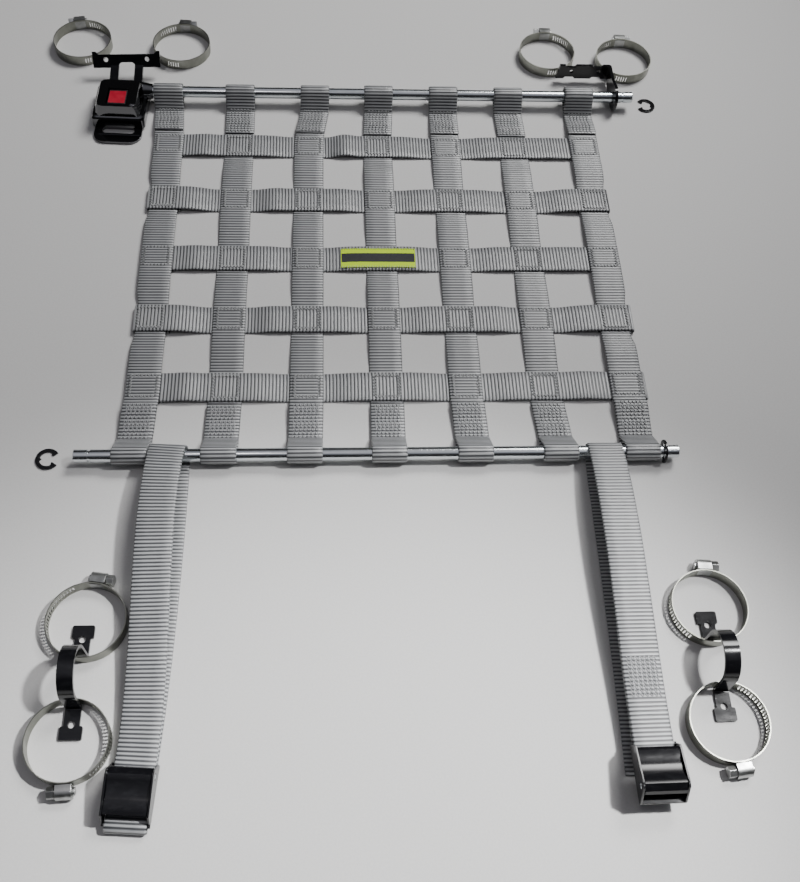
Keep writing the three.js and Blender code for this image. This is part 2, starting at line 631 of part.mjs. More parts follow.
function buckleLever() {
  const camSteps = 6;
  const cam = arc(CAM.at, CAM.height, CAM.radius, -0.4, -Math.PI - 0.7, camSteps).map(({ s, z }) => [s, z]);
  const shape = outline([...cam, ...LEVER_FLAP]);
  shape.holes.push(roundHole(CAM.at, CAM.height, CAM.hole));
  const half = BUCKLE.width / 2 - BUCKLE.wall - GAP;
  return standingPlate(shape, -half, 2 * half, 6);
}

function addMount(mount) {
  const { side, buckle } = mount;
  const strap = side === 'left' ? leftMountStrap(mount) : rightMountStrap(mount);
  addPiece(`mount_strap_${side}`, strap, MATERIALS.webbing);
  const group = new THREE.Group();
  group.position.set(buckle.x, buckle.y, buckle.z);
  group.rotation.z = buckle.turn * RAD + (buckle.facing < 0 ? Math.PI : 0);
  root.add(group);
  addPiece(`buckle_frame_${side}`, buckleFrame(), MATERIALS.black, group);
  addPiece(`buckle_lever_${side}`, buckleLever(), MATERIALS.black, group);
  const half = BUCKLE.width / 2;
  addPiece(`buckle_pin_${side}`, barAlongX(CAM.pin, -half, half, CAM.at, CAM.height), MATERIALS.black, group);
}

MOUNTS.forEach(addMount);

// Latch. Its own axes have Y towards the tongue and the table at zero.
const latch = new THREE.Group();
latch.position.set(LATCH.x, LATCH.y, 0);
latch.rotation.z = LATCH.turn * RAD;
root.add(latch);

// A solid through rounded rectangles stacked from the bottom up.
function stackedBlock(levels) {
  const cornerSteps = 3;
  const rings = levels.map(({ z, half, from, to, corner }) => {
    const centres = [[half - corner, to - corner], [corner - half, to - corner],
      [corner - half, from + corner], [half - corner, from + corner]];
    return centres.flatMap(([x, y], quarter) =>
      Array.from({ length: cornerSteps + 1 }, (_, i) => {
        const angle = (quarter + i / cornerSteps) * Math.PI / 2;
        return [x + corner * Math.cos(angle), y + corner * Math.sin(angle), z];
      }));
  });
  const count = rings[0].length;
  const middle = ({ z, from, to }) => [0, (from + to) / 2, z];
  const top = levels.length - 1;
  const points = [...rings.flat(), middle(levels[0]), middle(levels[top])];
  const lowCentre = levels.length * count;
  const faces = [];
  for (let i = 0; i < count; i += 1) {
    const next = (i + 1) % count;
    faces.push([lowCentre, next, i], [lowCentre + 1, top * count + i, top * count + next]);
    for (let level = 0; level < top; level += 1) {
      const a = level * count;
      const b = a + count;
      faces.push([a + i, a + next, b + i], [a + next, b + next, b + i]);
    }
  }
  const geometry = new THREE.BufferGeometry();
  geometry.setAttribute('position', new THREE.Float32BufferAttribute(points.flat(), 3));
  geometry.setIndex(faces.flat());
  return geometry;
}

function latchBase() {
  const { half, from, to, frontCorner: front, backCorner: back } = LATCH_BASE;
  const shape = new THREE.Shape();
  shape.absarc(half - front, from + front, front, -Math.PI / 2, 0);
  shape.absarc(half - back, to - back, back, 0, Math.PI / 2);
  shape.absarc(back - half, to - back, back, Math.PI / 2, Math.PI);
  shape.absarc(front - half, from + front, front, Math.PI, Math.PI * 1.5);
  shape.closePath();
  const middle = (LATCH_SLOT.from + LATCH_SLOT.to) / 2;
  const slot = roundedRectangle(LATCH_SLOT.half, (LATCH_SLOT.to - LATCH_SLOT.from) / 2, LATCH_SLOT.radius);
  const slotPoints = slot.getPoints(3).map(({ x, y }) => [x, y + middle]);
  shape.holes.push(outline(slotPoints.reverse()));
  return extrude(shape, LATCH.base, 4);
}

function latchCase() {
  const block = stackedBlock(CASE_LEVELS);
  latch.updateMatrixWorld(true);
  const intoLatch = latch.matrixWorld.clone().invert();
  const bossLength = BOSS.to - BOSS.from;
  const boss = new THREE.CylinderGeometry(BOSS.fromRadius, BOSS.toRadius, bossLength, 20)
    .rotateZ(Math.PI / 2)
    .translate((BOSS.from + BOSS.to) / 2, TOP_ROD.y, TOP_ROD.z)
    .applyMatrix4(intoLatch);
  const boreFrom = TOP_ROD.from - BOSS.endGap;
  const bore = barAlongX(BOSS.bore, boreFrom, BOSS.to + 1, TOP_ROD.y, TOP_ROD.z, 20).applyMatrix4(intoLatch);
  const clear = BUTTON.clearance;
  const pocket = box(-BUTTON.width / 2 - clear, BUTTON.width / 2 + clear,
    BUTTON.y - BUTTON.length / 2 - clear, BUTTON.y + BUTTON.length / 2 + clear, LATCH.pocketFloor, LATCH.top + 1);
  const channel = box(TONGUE.x - LATCH.channel, TONGUE.x + LATCH.channel, TONGUE.back - 2, 30,
    TONGUE.z - TONGUE.play, TONGUE.z + TONGUE.thickness + TONGUE.play);
  return cut(join(block, boss), bore, pocket, channel);
}

function latchButton() {
  const half = BUTTON.width / 2;
  const from = BUTTON.y - BUTTON.length / 2;
  const to = BUTTON.y + BUTTON.length / 2;
  return stackedBlock([
    { z: BUTTON.bottom, half, from, to, corner: 0.8 },
    { z: BUTTON.top - 0.6, half, from, to, corner: 0.8 },
    { z: BUTTON.top, half: half - 0.7, from: from + 0.7, to: to - 0.7, corner: 0.6 },
  ]);
}

// The tongue: a flat forked plate, folded up at its far end into a bar with a lug at each end.
function latchTongue() {
  const { outer, inner, back, bend } = TONGUE;
  const plate = outline([[-outer, back], [outer, back], [outer, bend], [-outer, bend]]);
  const from = TONGUE.window;
  plate.holes.push(outline([[-inner, from], [-inner, bend - 1], [inner, bend - 1], [inner, from]]));
  const flat = extrude(plate, TONGUE.thickness).translate(0, 0, TONGUE.z);
  const { half, width, lug, hole, holeAt, holeUp } = TONGUE_BAR;
  const bar = outline([
    [-half, -0.4], [half, -0.4], [half + 0.3, lug], [half - 2.4, lug], [half - 4.8, width],
    [4.8 - half, width], [2.4 - half, lug], [-half - 0.3, lug],
  ]);
  for (const side of [-1, 1]) {
    bar.holes.push(roundHole(side * holeAt, holeUp, hole));
  }
  const raise = (geometry) => geometry.rotateX(TONGUE.tilt * RAD).translate(0, bend, TONGUE.z);
  const folded = raise(extrude(bar, TONGUE.thickness, 5));
  const windowTop = roundedRectangle(inner, 6, 3);
  const opening = raise(extrude(windowTop, 20, 3).translate(0, -2, -10));
  const straight = box(-inner, inner, bend - 6, bend + 1, TONGUE.z - 1, TONGUE.z + TONGUE.thickness + 0.6);
  const tongue = cut(join(flat, folded), opening, straight).translate(0, -TONGUE.turnedAt, 0);
  return tongue.rotateZ(TONGUE.turn * RAD).translate(TONGUE.x, TONGUE.turnedAt, 0);
}

addPiece('latch_base', latchBase(), MATERIALS.chrome, latch);
addPiece('latch_case', latchCase(), MATERIALS.chrome, latch);
addPiece('latch_button', latchButton(), MATERIALS.button, latch);
addPiece('latch_tongue', latchTongue(), MATERIALS.black, latch);

// Bracket on the top rod.
function rodBracket() {
  const { x, thickness, low, high, bar, barFrom, eye, notch, fold } = BRACKET;
  const eyeSteps = 12;
  const eyeCurve = arc(TOP_ROD.y, TOP_ROD.z, eye, Math.PI / 2, Math.PI * 1.5, eyeSteps);
  const arm = outline([
    ...eyeCurve.map(({ s, z }) => [s, z]),
    [TOP_ROD.y + 15, TOP_ROD.z - eye], [bar - 3, low], [bar - fold, low], [bar - fold, high], [TOP_ROD.y + 16, high],
  ]);
  arm.holes.push(roundHole(TOP_ROD.y, TOP_ROD.z, BOSS.bore));
  const armPlate = standingPlate(arm, x, thickness, 8);

  const barTo = x - fold;
  const upper = [[barFrom + 2.2, high], [173.4, high], [174.8, high - notch], [182.4, high - notch],
    [183.8, high], [198.4, high], [199.8, high - notch], [207, high - notch], [208.4, high], [barTo, high]];
  const lower = [[barTo, low], [208, low], [206.6, low + notch], [199.6, low + notch], [198.2, low],
    [183.4, low], [182, low + notch], [174.6, low + notch], [173.2, low], [barFrom, low]];
  const face = outline([...upper.reverse(), ...lower.reverse()]);
  for (const at of BRACKET.holes) face.holes.push(roundHole(at, BRACKET.holeZ, BRACKET.holeRadius));
  const barPlate = extrude(face, thickness, 5).rotateX(Math.PI / 2).translate(0, bar + thickness, 0);

  const corner = new THREE.Shape();
  corner.absarc(barTo, bar - fold, thickness + fold, 0, Math.PI / 2);
  corner.absarc(barTo, bar - fold, fold, Math.PI / 2, 0, true);
  corner.closePath();
  return join(armPlate, barPlate, extrude(corner, high - low, 5).translate(0, 0, low));
}

addPiece('rod_bracket', rodBracket(), MATERIALS.black);

// Hoops.
function hoopGeometry() {
  const { width, thickness, leg, shoulder, fold, end } = HOOP;
  const flat = thickness / 2;
  const quarter = (side) => {
    const points = arc(leg + fold, flat + fold, fold, -Math.PI / 2, -Math.PI, 3);
    return points.map(({ s, z }) => ({ s: side * s, z }));
  };
  const path = [
    { s: end, z: flat },
    ...quarter(1),
    ...arc(0, shoulder, leg, 0, Math.PI, 14),
    ...quarter(-1).reverse(),
    { s: -end, z: flat },
  ];
  const strip = layBand(path.map(({ s, z }) => ({ x: 0, y: s, z, heading: UP_THE_PAGE })), thickness, width);
  const { from, half, hole, holeAt } = HOOP_HEAD;
  const head = (side) => {
    const plate = extrude(roundedRectangle(half, (end - from) / 2, 1.2), thickness, 2);
    return plate.translate(0, side * (from + end) / 2, 0);
  };
  const drill = (side) => {
    const tool = new THREE.CylinderGeometry(hole, hole, 3 * thickness, 16).rotateX(Math.PI / 2);
    return tool.translate(0, side * holeAt, 0);
  };
  return cut(join(strip, head(1), head(-1)), drill(1), drill(-1));
}

for (const { name, x, y, turn } of HOOPS) {
  const piece = addPiece(name, hoopGeometry(), MATERIALS.black);
  piece.position.set(x, y, 0);
  piece.rotation.z = turn * RAD;
}

// Worm-drive clamps. In their own axes the housing is on +Y.
function clampBand() {
  const { radius, band, height, segments } = CLAMP;
  const ring = new THREE.Shape();
  ring.absarc(0, 0, radius + band / 2, 0, 2 * Math.PI);
  ring.holes.push(roundHole(0, 0, radius - band / 2));
  return extrude(ring, height, segments);
}

function clampHousing() {
  const { from, axis, height, radius, length, bore } = HOUSING;
  const round = arc(axis, height, radius, -Math.PI / 2, Math.PI / 2, 8).map(({ s, z }) => [s, z]);
  const section = outline([[from, height - radius], ...round, [from, height + radius]]);
  section.holes.push(roundHole(axis, height, bore));
  return standingPlate(section, -length / 2, length, 6);
}

function clampScrew(side) {
  const { radius, tip, head, headLength, headRadius } = SCREW;
  const shaft = barAlongX(radius, tip, head + 1, HOUSING.axis, HOUSING.height, 12);
  const hexagon = barAlongX(headRadius, head, head + headLength, HOUSING.axis, HOUSING.height, 6);
  const screw = join(shaft, hexagon);
  return side > 0 ? screw : screw.rotateZ(Math.PI).translate(0, 2 * HOUSING.axis, 0);
}

for (const clamp of CLAMPS) {
  const group = new THREE.Group();
  group.position.set(clamp.x, clamp.y, 0);
  group.rotation.z = (clamp.housing - 90) * RAD;
  root.add(group);
  addPiece(`clamp_band_${clamp.name}`, clampBand(), MATERIALS.steel, group);
  addPiece(`clamp_housing_${clamp.name}`, clampHousing(), MATERIALS.steel, group);
  addPiece(`clamp_screw_${clamp.name}`, clampScrew(clamp.head), MATERIALS.steel, group);
}

export default root;
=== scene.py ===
# %% [markdown]
# # A racing window net, dressed for its portrait
# The object is a flat net sewn from grey webbing. It lies on a table with two steel rods, a
# push-button latch, two mounting straps with cam buckles, and the fixings that hold it to a
# roll cage. The engineering model gives every place and size, and this lesson adds the looks.
# Everything is in one frame: +X along the rods, +Y towards the latch, +Z up off the table.

# %% Load the engineering model
import math

import bmesh
import bpy
from mathutils import Matrix, Vector


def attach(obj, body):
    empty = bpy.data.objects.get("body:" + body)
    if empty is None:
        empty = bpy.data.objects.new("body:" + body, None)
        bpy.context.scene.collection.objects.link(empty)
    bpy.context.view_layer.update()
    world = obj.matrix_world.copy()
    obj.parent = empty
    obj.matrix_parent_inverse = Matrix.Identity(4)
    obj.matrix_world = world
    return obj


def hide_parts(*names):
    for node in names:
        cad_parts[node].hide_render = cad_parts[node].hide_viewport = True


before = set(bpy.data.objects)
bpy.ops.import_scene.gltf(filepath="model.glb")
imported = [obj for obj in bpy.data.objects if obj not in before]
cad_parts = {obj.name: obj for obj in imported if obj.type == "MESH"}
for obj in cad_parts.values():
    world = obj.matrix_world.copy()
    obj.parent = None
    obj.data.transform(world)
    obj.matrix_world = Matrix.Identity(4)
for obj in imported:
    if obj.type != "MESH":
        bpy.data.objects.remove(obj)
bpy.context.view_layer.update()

print("solids loaded:", len(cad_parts))

# %% [markdown]
# ## Working in millimetres
# A maker of webbing thinks in millimetres. So each function below takes millimetres, and one
# helper turns them into Blender's metres as a mesh is made.

# %% Sizes and small helpers
MM = 0.001
GAP = 0.3
WEBBING_WIDTH = 25.4
WEBBING = 1.5
LAYER = WEBBING + GAP
CROSSING_HALF = WEBBING_WIDTH / 2 + 2


def mix(a, b, t):
    return a + (b - a) * t


def clamp01(t):
    return min(1.0, max(0.0, t))


def smooth(t):
    return t * t * (3 - 2 * t)


def steps(count):
    return [i / count for i in range(count + 1)]


def table_of(titles, *rows):
    return [dict(zip(titles, row)) for row in rows]


def new_object(name, mesh):
    made = bpy.data.objects.new(name, mesh)
    bpy.context.scene.collection.objects.link(made)
    return made


def mesh_piece(name, points, faces, material):
    mesh = bpy.data.meshes.new(name)
    mesh.from_pydata([Vector(p) * MM for p in points], [], faces)
    if material:
        mesh.materials.append(material)
    mesh.update()
    return new_object(name, mesh)


def shade(piece, angle=35):
    piece.data.shade_smooth()
    piece.data.set_sharp_from_angle(angle=math.radians(angle))


def face_outward(piece, weld=0.0):
    form = bmesh.new()
    form.from_mesh(piece.data)
    if weld:
        bmesh.ops.remove_doubles(form, verts=form.verts, dist=weld)
    bmesh.ops.recalc_face_normals(form, faces=form.faces)
    form.to_mesh(piece.data)
    form.free()


def tube_faces(rings, size, order=None, caps=True):
    """Faces of a tube: rings of corners laid one after another, each ring taken in one order."""
    order = order or list(range(size))
    faces = []
    for row in range(rings - 1):
        for k in range(size):
            a, b = row * size + order[k], row * size + order[(k + 1) % size]
            faces.append((a, b, b + size, a + size))
    if caps:
        faces += [tuple(order), tuple(o + (rings - 1) * size for o in order)]
    return faces


def vectors_on(piece, key, values):
    layer = piece.data.attributes.new(key, "FLOAT_VECTOR", "POINT")
    layer.data.foreach_set("vector", [c for v in values for c in v])


def enrolled(piece, body="net", node=None):
    """Give a piece its body, and hide the solid that it stands in for."""
    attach(piece, body)
    if node:
        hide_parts(node)
    return piece


print("webbing", WEBBING_WIDTH, "mm wide, layers", LAYER, "mm apart")

# %% [markdown]
# ## The camera
# The photograph looks down on the table from the side of the mounting straps, and leans a
# little. The camera stands where the rods, rings and crossings all fall on their own pixels.

# %% Camera
CAMERA_PLACE = (-39.17, -561.81, 652.47)
CAMERA_TILT = 1.02834
CAMERA_YAW = -0.120092
CAMERA_ROLL = 0.0955427
LENS = 42.72

turn = Matrix.Rotation(CAMERA_YAW, 3, "Z")
ahead = turn @ Vector((0, math.cos(CAMERA_TILT), -math.sin(CAMERA_TILT)))
up = turn @ Vector((0, math.sin(CAMERA_TILT), math.cos(CAMERA_TILT)))
right = turn @ Vector((1, 0, 0))
right_rolled = right * math.cos(CAMERA_ROLL) + up * math.sin(CAMERA_ROLL)
up_rolled = up * math.cos(CAMERA_ROLL) - right * math.sin(CAMERA_ROLL)
camera_data = bpy.data.cameras.new("camera")
camera_data.lens = LENS
camera_data.sensor_width = 36
camera = new_object("camera", camera_data)
axes = Matrix((right_rolled, up_rolled, -ahead)).transposed().to_4x4()
camera.matrix_world = Matrix.Translation(Vector(CAMERA_PLACE) * MM) @ axes
bpy.context.scene.camera = camera
print("camera", round(camera.location.length, 3), "m from the net's centre")

# %% [markdown]
# ## Helpers for node trees
# Materials and Geometry Nodes are both trees of linked nodes. One small function adds a node,
# sets its plain values and links its inputs, so each tree below reads like a recipe.

# %% Node helpers


def add_node(tree, kind, links=None, **settings):
    node = tree.nodes.new(kind)
    for key, value in settings.items():
        setattr(node, key, value)
    for socket, source in (links or {}).items():
        target = node.inputs[socket]
        if isinstance(source, bpy.types.NodeSocket):
            tree.links.new(source, target)
        else:
            target.default_value = source
    return node


def maths(tree, operation, *values):
    return add_node(tree, "ShaderNodeMath", dict(enumerate(values)), operation=operation).outputs[0]


def ramp(tree, factor, *stops):
    node = add_node(tree, "ShaderNodeValToRGB", {0: factor})
    bands = node.color_ramp.elements
    while len(bands) < len(stops):
        bands.new(0.5)
    for band, (place, colour) in zip(bands, stops):
        band.position = place
        band.color = (*colour, 1)
    return node.outputs[0]


def noise(tree, place, scale, detail=3, roughness=0.55):
    sockets = {"Vector": place, "Scale": scale, "Detail": detail, "Roughness": roughness}
    return add_node(tree, "ShaderNodeTexNoise", sockets).outputs["Fac"]


def object_place(tree):
    return add_node(tree, "ShaderNodeTexCoord").outputs["Object"]


def stretched(tree, place, scale):
    return add_node(tree, "ShaderNodeMapping", {"Vector": place, "Scale": scale}).outputs[0]


def mixed(tree, factor, first, second, blend="MIX"):
    node = add_node(tree, "ShaderNodeMix", data_type="RGBA", blend_type=blend)
    for index, value in ((0, factor), (6, first), (7, second)):
        if isinstance(value, bpy.types.NodeSocket):
            tree.links.new(value, node.inputs[index])
        else:
            node.inputs[index].default_value = value if index == 0 else (*value, 1)
    return node.outputs[2]


def bump(tree, height, distance, strength=1.0):
    sockets = {"Height": height, "Distance": distance, "Strength": strength}
    return add_node(tree, "ShaderNodeBump", sockets).outputs[0]


def new_material(name):
    material = bpy.data.materials.new(name)
    material.use_nodes = True
    return material, material.node_tree


def painted(material, **sockets):
    """Feed the material's surface, with spaces in the names of its sockets written as _."""
    tree = material.node_tree
    for name, value in sockets.items():
        target = tree.nodes["Principled BSDF"].inputs[name.replace("_", " ")]
        if isinstance(value, bpy.types.NodeSocket):
            tree.links.new(value, target)
        else:
            target.default_value = value
    return material


# %% [markdown]
# ## Silver-grey polyester webbing
# Tight webbing shows round ribs across its width, with dark grooves between them. The ribs are
# real geometry, made later. The material adds what is smaller: the slant of the yarns, painted
# shade that darkens each groove and the flanks beside it, and yarn that is a little lighter or darker by
# place.

# %% Webbing and thread materials
# The groove and flank greys are painted shade between the ribs; the crest grey is the yarn's own.
GROOVE_PAINTED_SHADE = (0.02, 0.021, 0.024)
FLANK_PAINTED_SHADE = (0.09, 0.093, 0.099)
RIB_GREY = (0.41, 0.42, 0.425)


def webbing_material():
    material, tree = new_material("webbing")
    rib = add_node(tree, "ShaderNodeAttribute", attribute_name="rib").outputs["Fac"]
    weave = add_node(tree, "ShaderNodeAttribute", attribute_name="weave").outputs["Vector"]
    yarn = add_node(tree, "ShaderNodeTexWave", {"Vector": stretched(tree, weave, (1, 0.35, 1)),
                    "Scale": 0.42, "Distortion": 0.6, "Detail": 1}).outputs["Fac"]
    place = object_place(tree)
    patches = noise(tree, place, 45)
    fibres = noise(tree, stretched(tree, weave, (0.6, 4, 1)), 1.6, 5)
    # The ramp paints shade into each groove and its flanks by rib height.
    base = ramp(tree, rib, (0.18, GROOVE_PAINTED_SHADE), (0.6, FLANK_PAINTED_SHADE), (1, RIB_GREY))
    aged = mixed(tree, maths(tree, "MULTIPLY", patches, 0.3), base, (0.3, 0.305, 0.32), "MULTIPLY")
    lit = mixed(tree, maths(tree, "MULTIPLY", fibres, 0.35), aged, (0.55, 0.56, 0.57), "SOFT_LIGHT")
    height = maths(tree, "ADD", maths(tree, "MULTIPLY", yarn, 0.7), maths(tree, "MULTIPLY", fibres, 0.5))
    rough = maths(tree, "MULTIPLY_ADD", fibres, 0.22, 0.3)
    return painted(material, Base_Color=lit, Roughness=rough, Normal=bump(tree, height, 0.00006, 0.6),
                   Specular_IOR_Level=0.9, Sheen_Weight=0.05, Sheen_Roughness=0.4)


def thread_material():
    material, tree = new_material("sewing thread")
    place = object_place(tree)
    twist = noise(tree, place, 2600, 1)
    colour = ramp(tree, twist, (0.3, (0.16, 0.165, 0.172)), (0.7, (0.46, 0.468, 0.47)))
    return painted(material, Base_Color=colour, Roughness=0.38, Normal=bump(tree, twist, 0.00005, 0.6),
                   Specular_IOR_Level=0.7)


WEBBING_CLOTH = webbing_material()
THREAD = thread_material()
print("cloth materials:", WEBBING_CLOTH.name, THREAD.name)

# %% [markdown]
# ## Metals, lacquer and plastic
# The rods are bright zinc with faint turning marks, the latch is mirror chrome whose colour is
# darkened as a painted dark reflection, the clamps are dull rolled steel with a warm tint, and the
# buckles are black lacquer with faint scuffs. Each tree varies roughness or tint by place, since no real
# metal is even.

# %% Metal and plastic materials
LATCH_TURN = -2.5
RED_HALF = (7.0, 7.3)


def rod_material():
    material, tree = new_material("bright zinc rod")
    place = object_place(tree)
    rings = noise(tree, stretched(tree, place, (2600, 60, 60)), 1, 3)
    tarnish = noise(tree, place, 24, 4)
    colour = ramp(tree, tarnish, (0.35, (0.6, 0.64, 0.66)), (0.7, (0.8, 0.82, 0.83)))
    rough = maths(tree, "MULTIPLY_ADD", rings, 0.14, 0.13)
    return painted(material, Base_Color=colour, Metallic=1.0, Roughness=rough,
                   Normal=bump(tree, rings, 0.00003, 0.25))


def chrome_material():
    material, tree = new_material("mirror chrome")
    place = object_place(tree)
    smear = noise(tree, place, 60, 4)
    waves = noise(tree, place, 38, 1)
    rough = maths(tree, "MULTIPLY_ADD", smear, 0.07, 0.04)
    # The base colour is far darker than real chrome: a painted dark reflection, so faces that mirror the lit
    # table still look black.
    return painted(material, Base_Color=(0.15, 0.15, 0.156, 1), Metallic=1.0, Roughness=rough,
                   Normal=bump(tree, waves, 0.0004, 0.12))


def lacquer_material():
    material, tree = new_material("black lacquer")
    place = object_place(tree)
    orange_peel = noise(tree, place, 900, 2)
    scuffs = noise(tree, stretched(tree, place, (120, 320, 120)), 1, 5, 0.7)
    colour = ramp(tree, scuffs, (0.5, (0.004, 0.004, 0.005)), (0.85, (0.012, 0.0125, 0.014)))
    rough = maths(tree, "MULTIPLY_ADD", scuffs, 0.12, 0.08)
    return painted(material, Base_Color=colour, Roughness=rough, Specular_IOR_Level=0.45,
                   Normal=bump(tree, orange_peel, 0.00002, 0.12))


def steel_material(name, dull, bright):
    material, tree = new_material(name)
    place = object_place(tree)
    rolled = noise(tree, stretched(tree, place, (160, 160, 2600)), 1, 4)
    tarnish = noise(tree, place, 55, 4)
    colour = ramp(tree, tarnish, (0.35, dull), (0.7, bright))
    rough = maths(tree, "MULTIPLY_ADD", rolled, 0.24, 0.24)
    return painted(material, Base_Color=colour, Metallic=1.0, Roughness=rough,
                   Normal=bump(tree, rolled, 0.00003, 0.35))


def outside_red(tree):
    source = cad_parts["latch_button"]
    corners = [source.matrix_world @ Vector(c) for c in source.bound_box]
    middle = sum(corners, Vector()) / len(corners)
    squared = add_node(tree, "ShaderNodeVectorRotate", {
        "Vector": object_place(tree), "Center": middle, "Angle": math.radians(-LATCH_TURN)})
    parts = add_node(tree, "ShaderNodeSeparateXYZ", {0: squared.outputs[0]}).outputs
    beyond = []
    for index, half in enumerate(RED_HALF):
        away = maths(tree, "ABSOLUTE", maths(tree, "SUBTRACT", parts[index], middle[index]))
        beyond.append(maths(tree, "GREATER_THAN", away, half * MM))
    return maths(tree, "MAXIMUM", *beyond)


def button_material():
    material, tree = new_material("red button")
    grain = noise(tree, object_place(tree), 1400, 2)
    dust = noise(tree, object_place(tree), 160, 4)
    red = ramp(tree, dust, (0.4, (0.34, 0.005, 0.022)), (0.75, (0.44, 0.018, 0.04)))
    colour = mixed(tree, outside_red(tree), red, (0.014, 0.014, 0.016))
    rough = maths(tree, "MULTIPLY_ADD", dust, 0.2, 0.3)
    return painted(material, Base_Color=colour, Roughness=rough, Specular_IOR_Level=0.3,
                   Normal=bump(tree, grain, 0.00003, 0.5))


ROD_METAL = rod_material()
CHROME = chrome_material()
LACQUER = lacquer_material()
CLAMP_STEEL = steel_material("rolled clamp steel", (0.2, 0.205, 0.178), (0.35, 0.355, 0.318))
PRESSED_STEEL = steel_material("pressed housing steel", (0.22, 0.225, 0.22), (0.6, 0.61, 0.6))
BUTTON_RED = button_material()
print("metal materials:", ROD_METAL.name, CHROME.name, LACQUER.name, CLAMP_STEEL.name)

# %% [markdown]
# ## Where the webbing runs
# A strap is one centre line with a heading and a width at every place. At each crossing it is
# level, on one of the layers, and between crossings it eases to the next level with a small
# hump. The tables give each strap's places, so a slip in the weave is easy to see.

# %% Tables of the net
ROD_RADIUS = 4.76
LOOP_RADIUS = ROD_RADIUS + GAP + WEBBING / 2
TOP_ROD = {"y": 182, "z": 11.5, "from": -202.6, "to": 231, "grooves": (221.5,)}
BOTTOM_ROD = {"y": -187, "z": 8.8, "from": -222, "to": 209, "grooves": (-211, 198.4)}
TOP_TAIL = (168, 140.8)
BOTTOM_TAIL = (-170, -140.6)
COLUMNS = table_of(
    ("top", "middle", "bottom", "slack", "rise"),
    (-183, -180, -183, 0.6, (0.3, 0.4, 0.3, 0.6)),
    (-120.4, -120, -121.2, 0.2, (0.3, 0.3, 0.4, 0.6)),
    (-54.6, -60, -60.6, 0.2, (0.3, 0.4, 0.5, 0.9)),
    (1.5, -0.4, -0.6, 0.8, (0.4, 1.1, 0.4, 1.2)),
    (59.2, 59, 61, 0.8, (0.8, 0.4, 0.8, 0.4)),
    (117.4, 119, 122.6, 0.5, (0.3, 0.4, 0.4, 0.9)),
    (181.1, 181.5, 182, 1.9, (1.4, 0.3, 0.7, 0.9)),
)
ROWS = table_of(
    ("y", "left", "right", "rise"),
    (126, -1.6, -1.2, (0.9, 0.3, 2.6, 0.3, 0.4, 0.4)),
    (63.1, 0, 0, (0.3, 1.2, 0.8, 0.4, 0.3, 0.5)),
    (-0.6, -2, -1, (0.8, 0.4, 0.4, 0.4, 0.5, 0.4)),
    (-62, 0, 1.6, (0.3, 0.8, 0.4, 0.4, 1.1, 0.4)),
    (-125.2, -1.6, 1, (1.1, 0.4, 0.3, 0.4, 0.4, 1)),
)
DRAWN_IN = {"depth": 1.6, "fade": 13}
CROSS_TAIL = 26.4
UP_THE_PAGE = math.pi / 2


def is_outer(column):
    return column in (0, len(COLUMNS) - 1)


def column_is_over(column, row):
    return column % 2 == row % 2


def crossing_level(column, over):
    """How high a strap lies at a crossing: an outer crossing has a folded end underneath."""
    return LAYER * (is_outer(column) + over)


def column_level(column, row):
    return crossing_level(column, column_is_over(column, row))


def row_level(column, row):
    return crossing_level(column, not column_is_over(column, row))


print(len(COLUMNS), "vertical straps cross", len(ROWS), "cross straps")

# %% Paths of the net's straps


def under_side(plateaus, rises, s):
    ahead_of = [i for i, (at, level) in enumerate(plateaus) if s < at + CROSSING_HALF]
    if not ahead_of:
        return plateaus[-1][1]
    following = ahead_of[0]
    at, level = plateaus[following]
    if following == 0 or s > at - CROSSING_HALF:
        return level
    start = plateaus[following - 1][0] + CROSSING_HALF
    t = (s - start) / (at - CROSSING_HALF - start)
    hump = rises[following - 1] * math.sin(math.pi * t) ** 2
    return mix(plateaus[following - 1][1], level, smooth(t)) + hump


def arc(s, z, radius, start, end, count=40):
    return [(s + radius * math.cos(mix(start, end, t)), z + radius * math.sin(mix(start, end, t)))
            for t in steps(count)]


def tangent_angle(point, centre, radius, side):
    run, rise = point[0] - centre[0], point[1] - centre[1]
    return math.atan2(rise, run) + side * math.acos(radius / math.hypot(run, rise))


def column_centre(column, s):
    highest, lowest = ROWS[0]["y"], ROWS[-1]["y"]
    for edge, rod, end in ((highest, TOP_ROD, "top"), (lowest, BOTTOM_ROD, "bottom")):
        part = (s - edge) / (rod["y"] - edge)
        if part > 0:
            return mix(column["middle"], column[end], smooth(clamp01(part)))
    return column["middle"]


def drawn_in(index, s):
    if not is_outer(index):
        return 0.0
    near = min(abs(s - row["y"]) for r, row in enumerate(ROWS) if not column_is_over(index, r))
    return DRAWN_IN["depth"] * (1 - smooth(clamp01((near - CROSSING_HALF) / DRAWN_IN["fade"])))


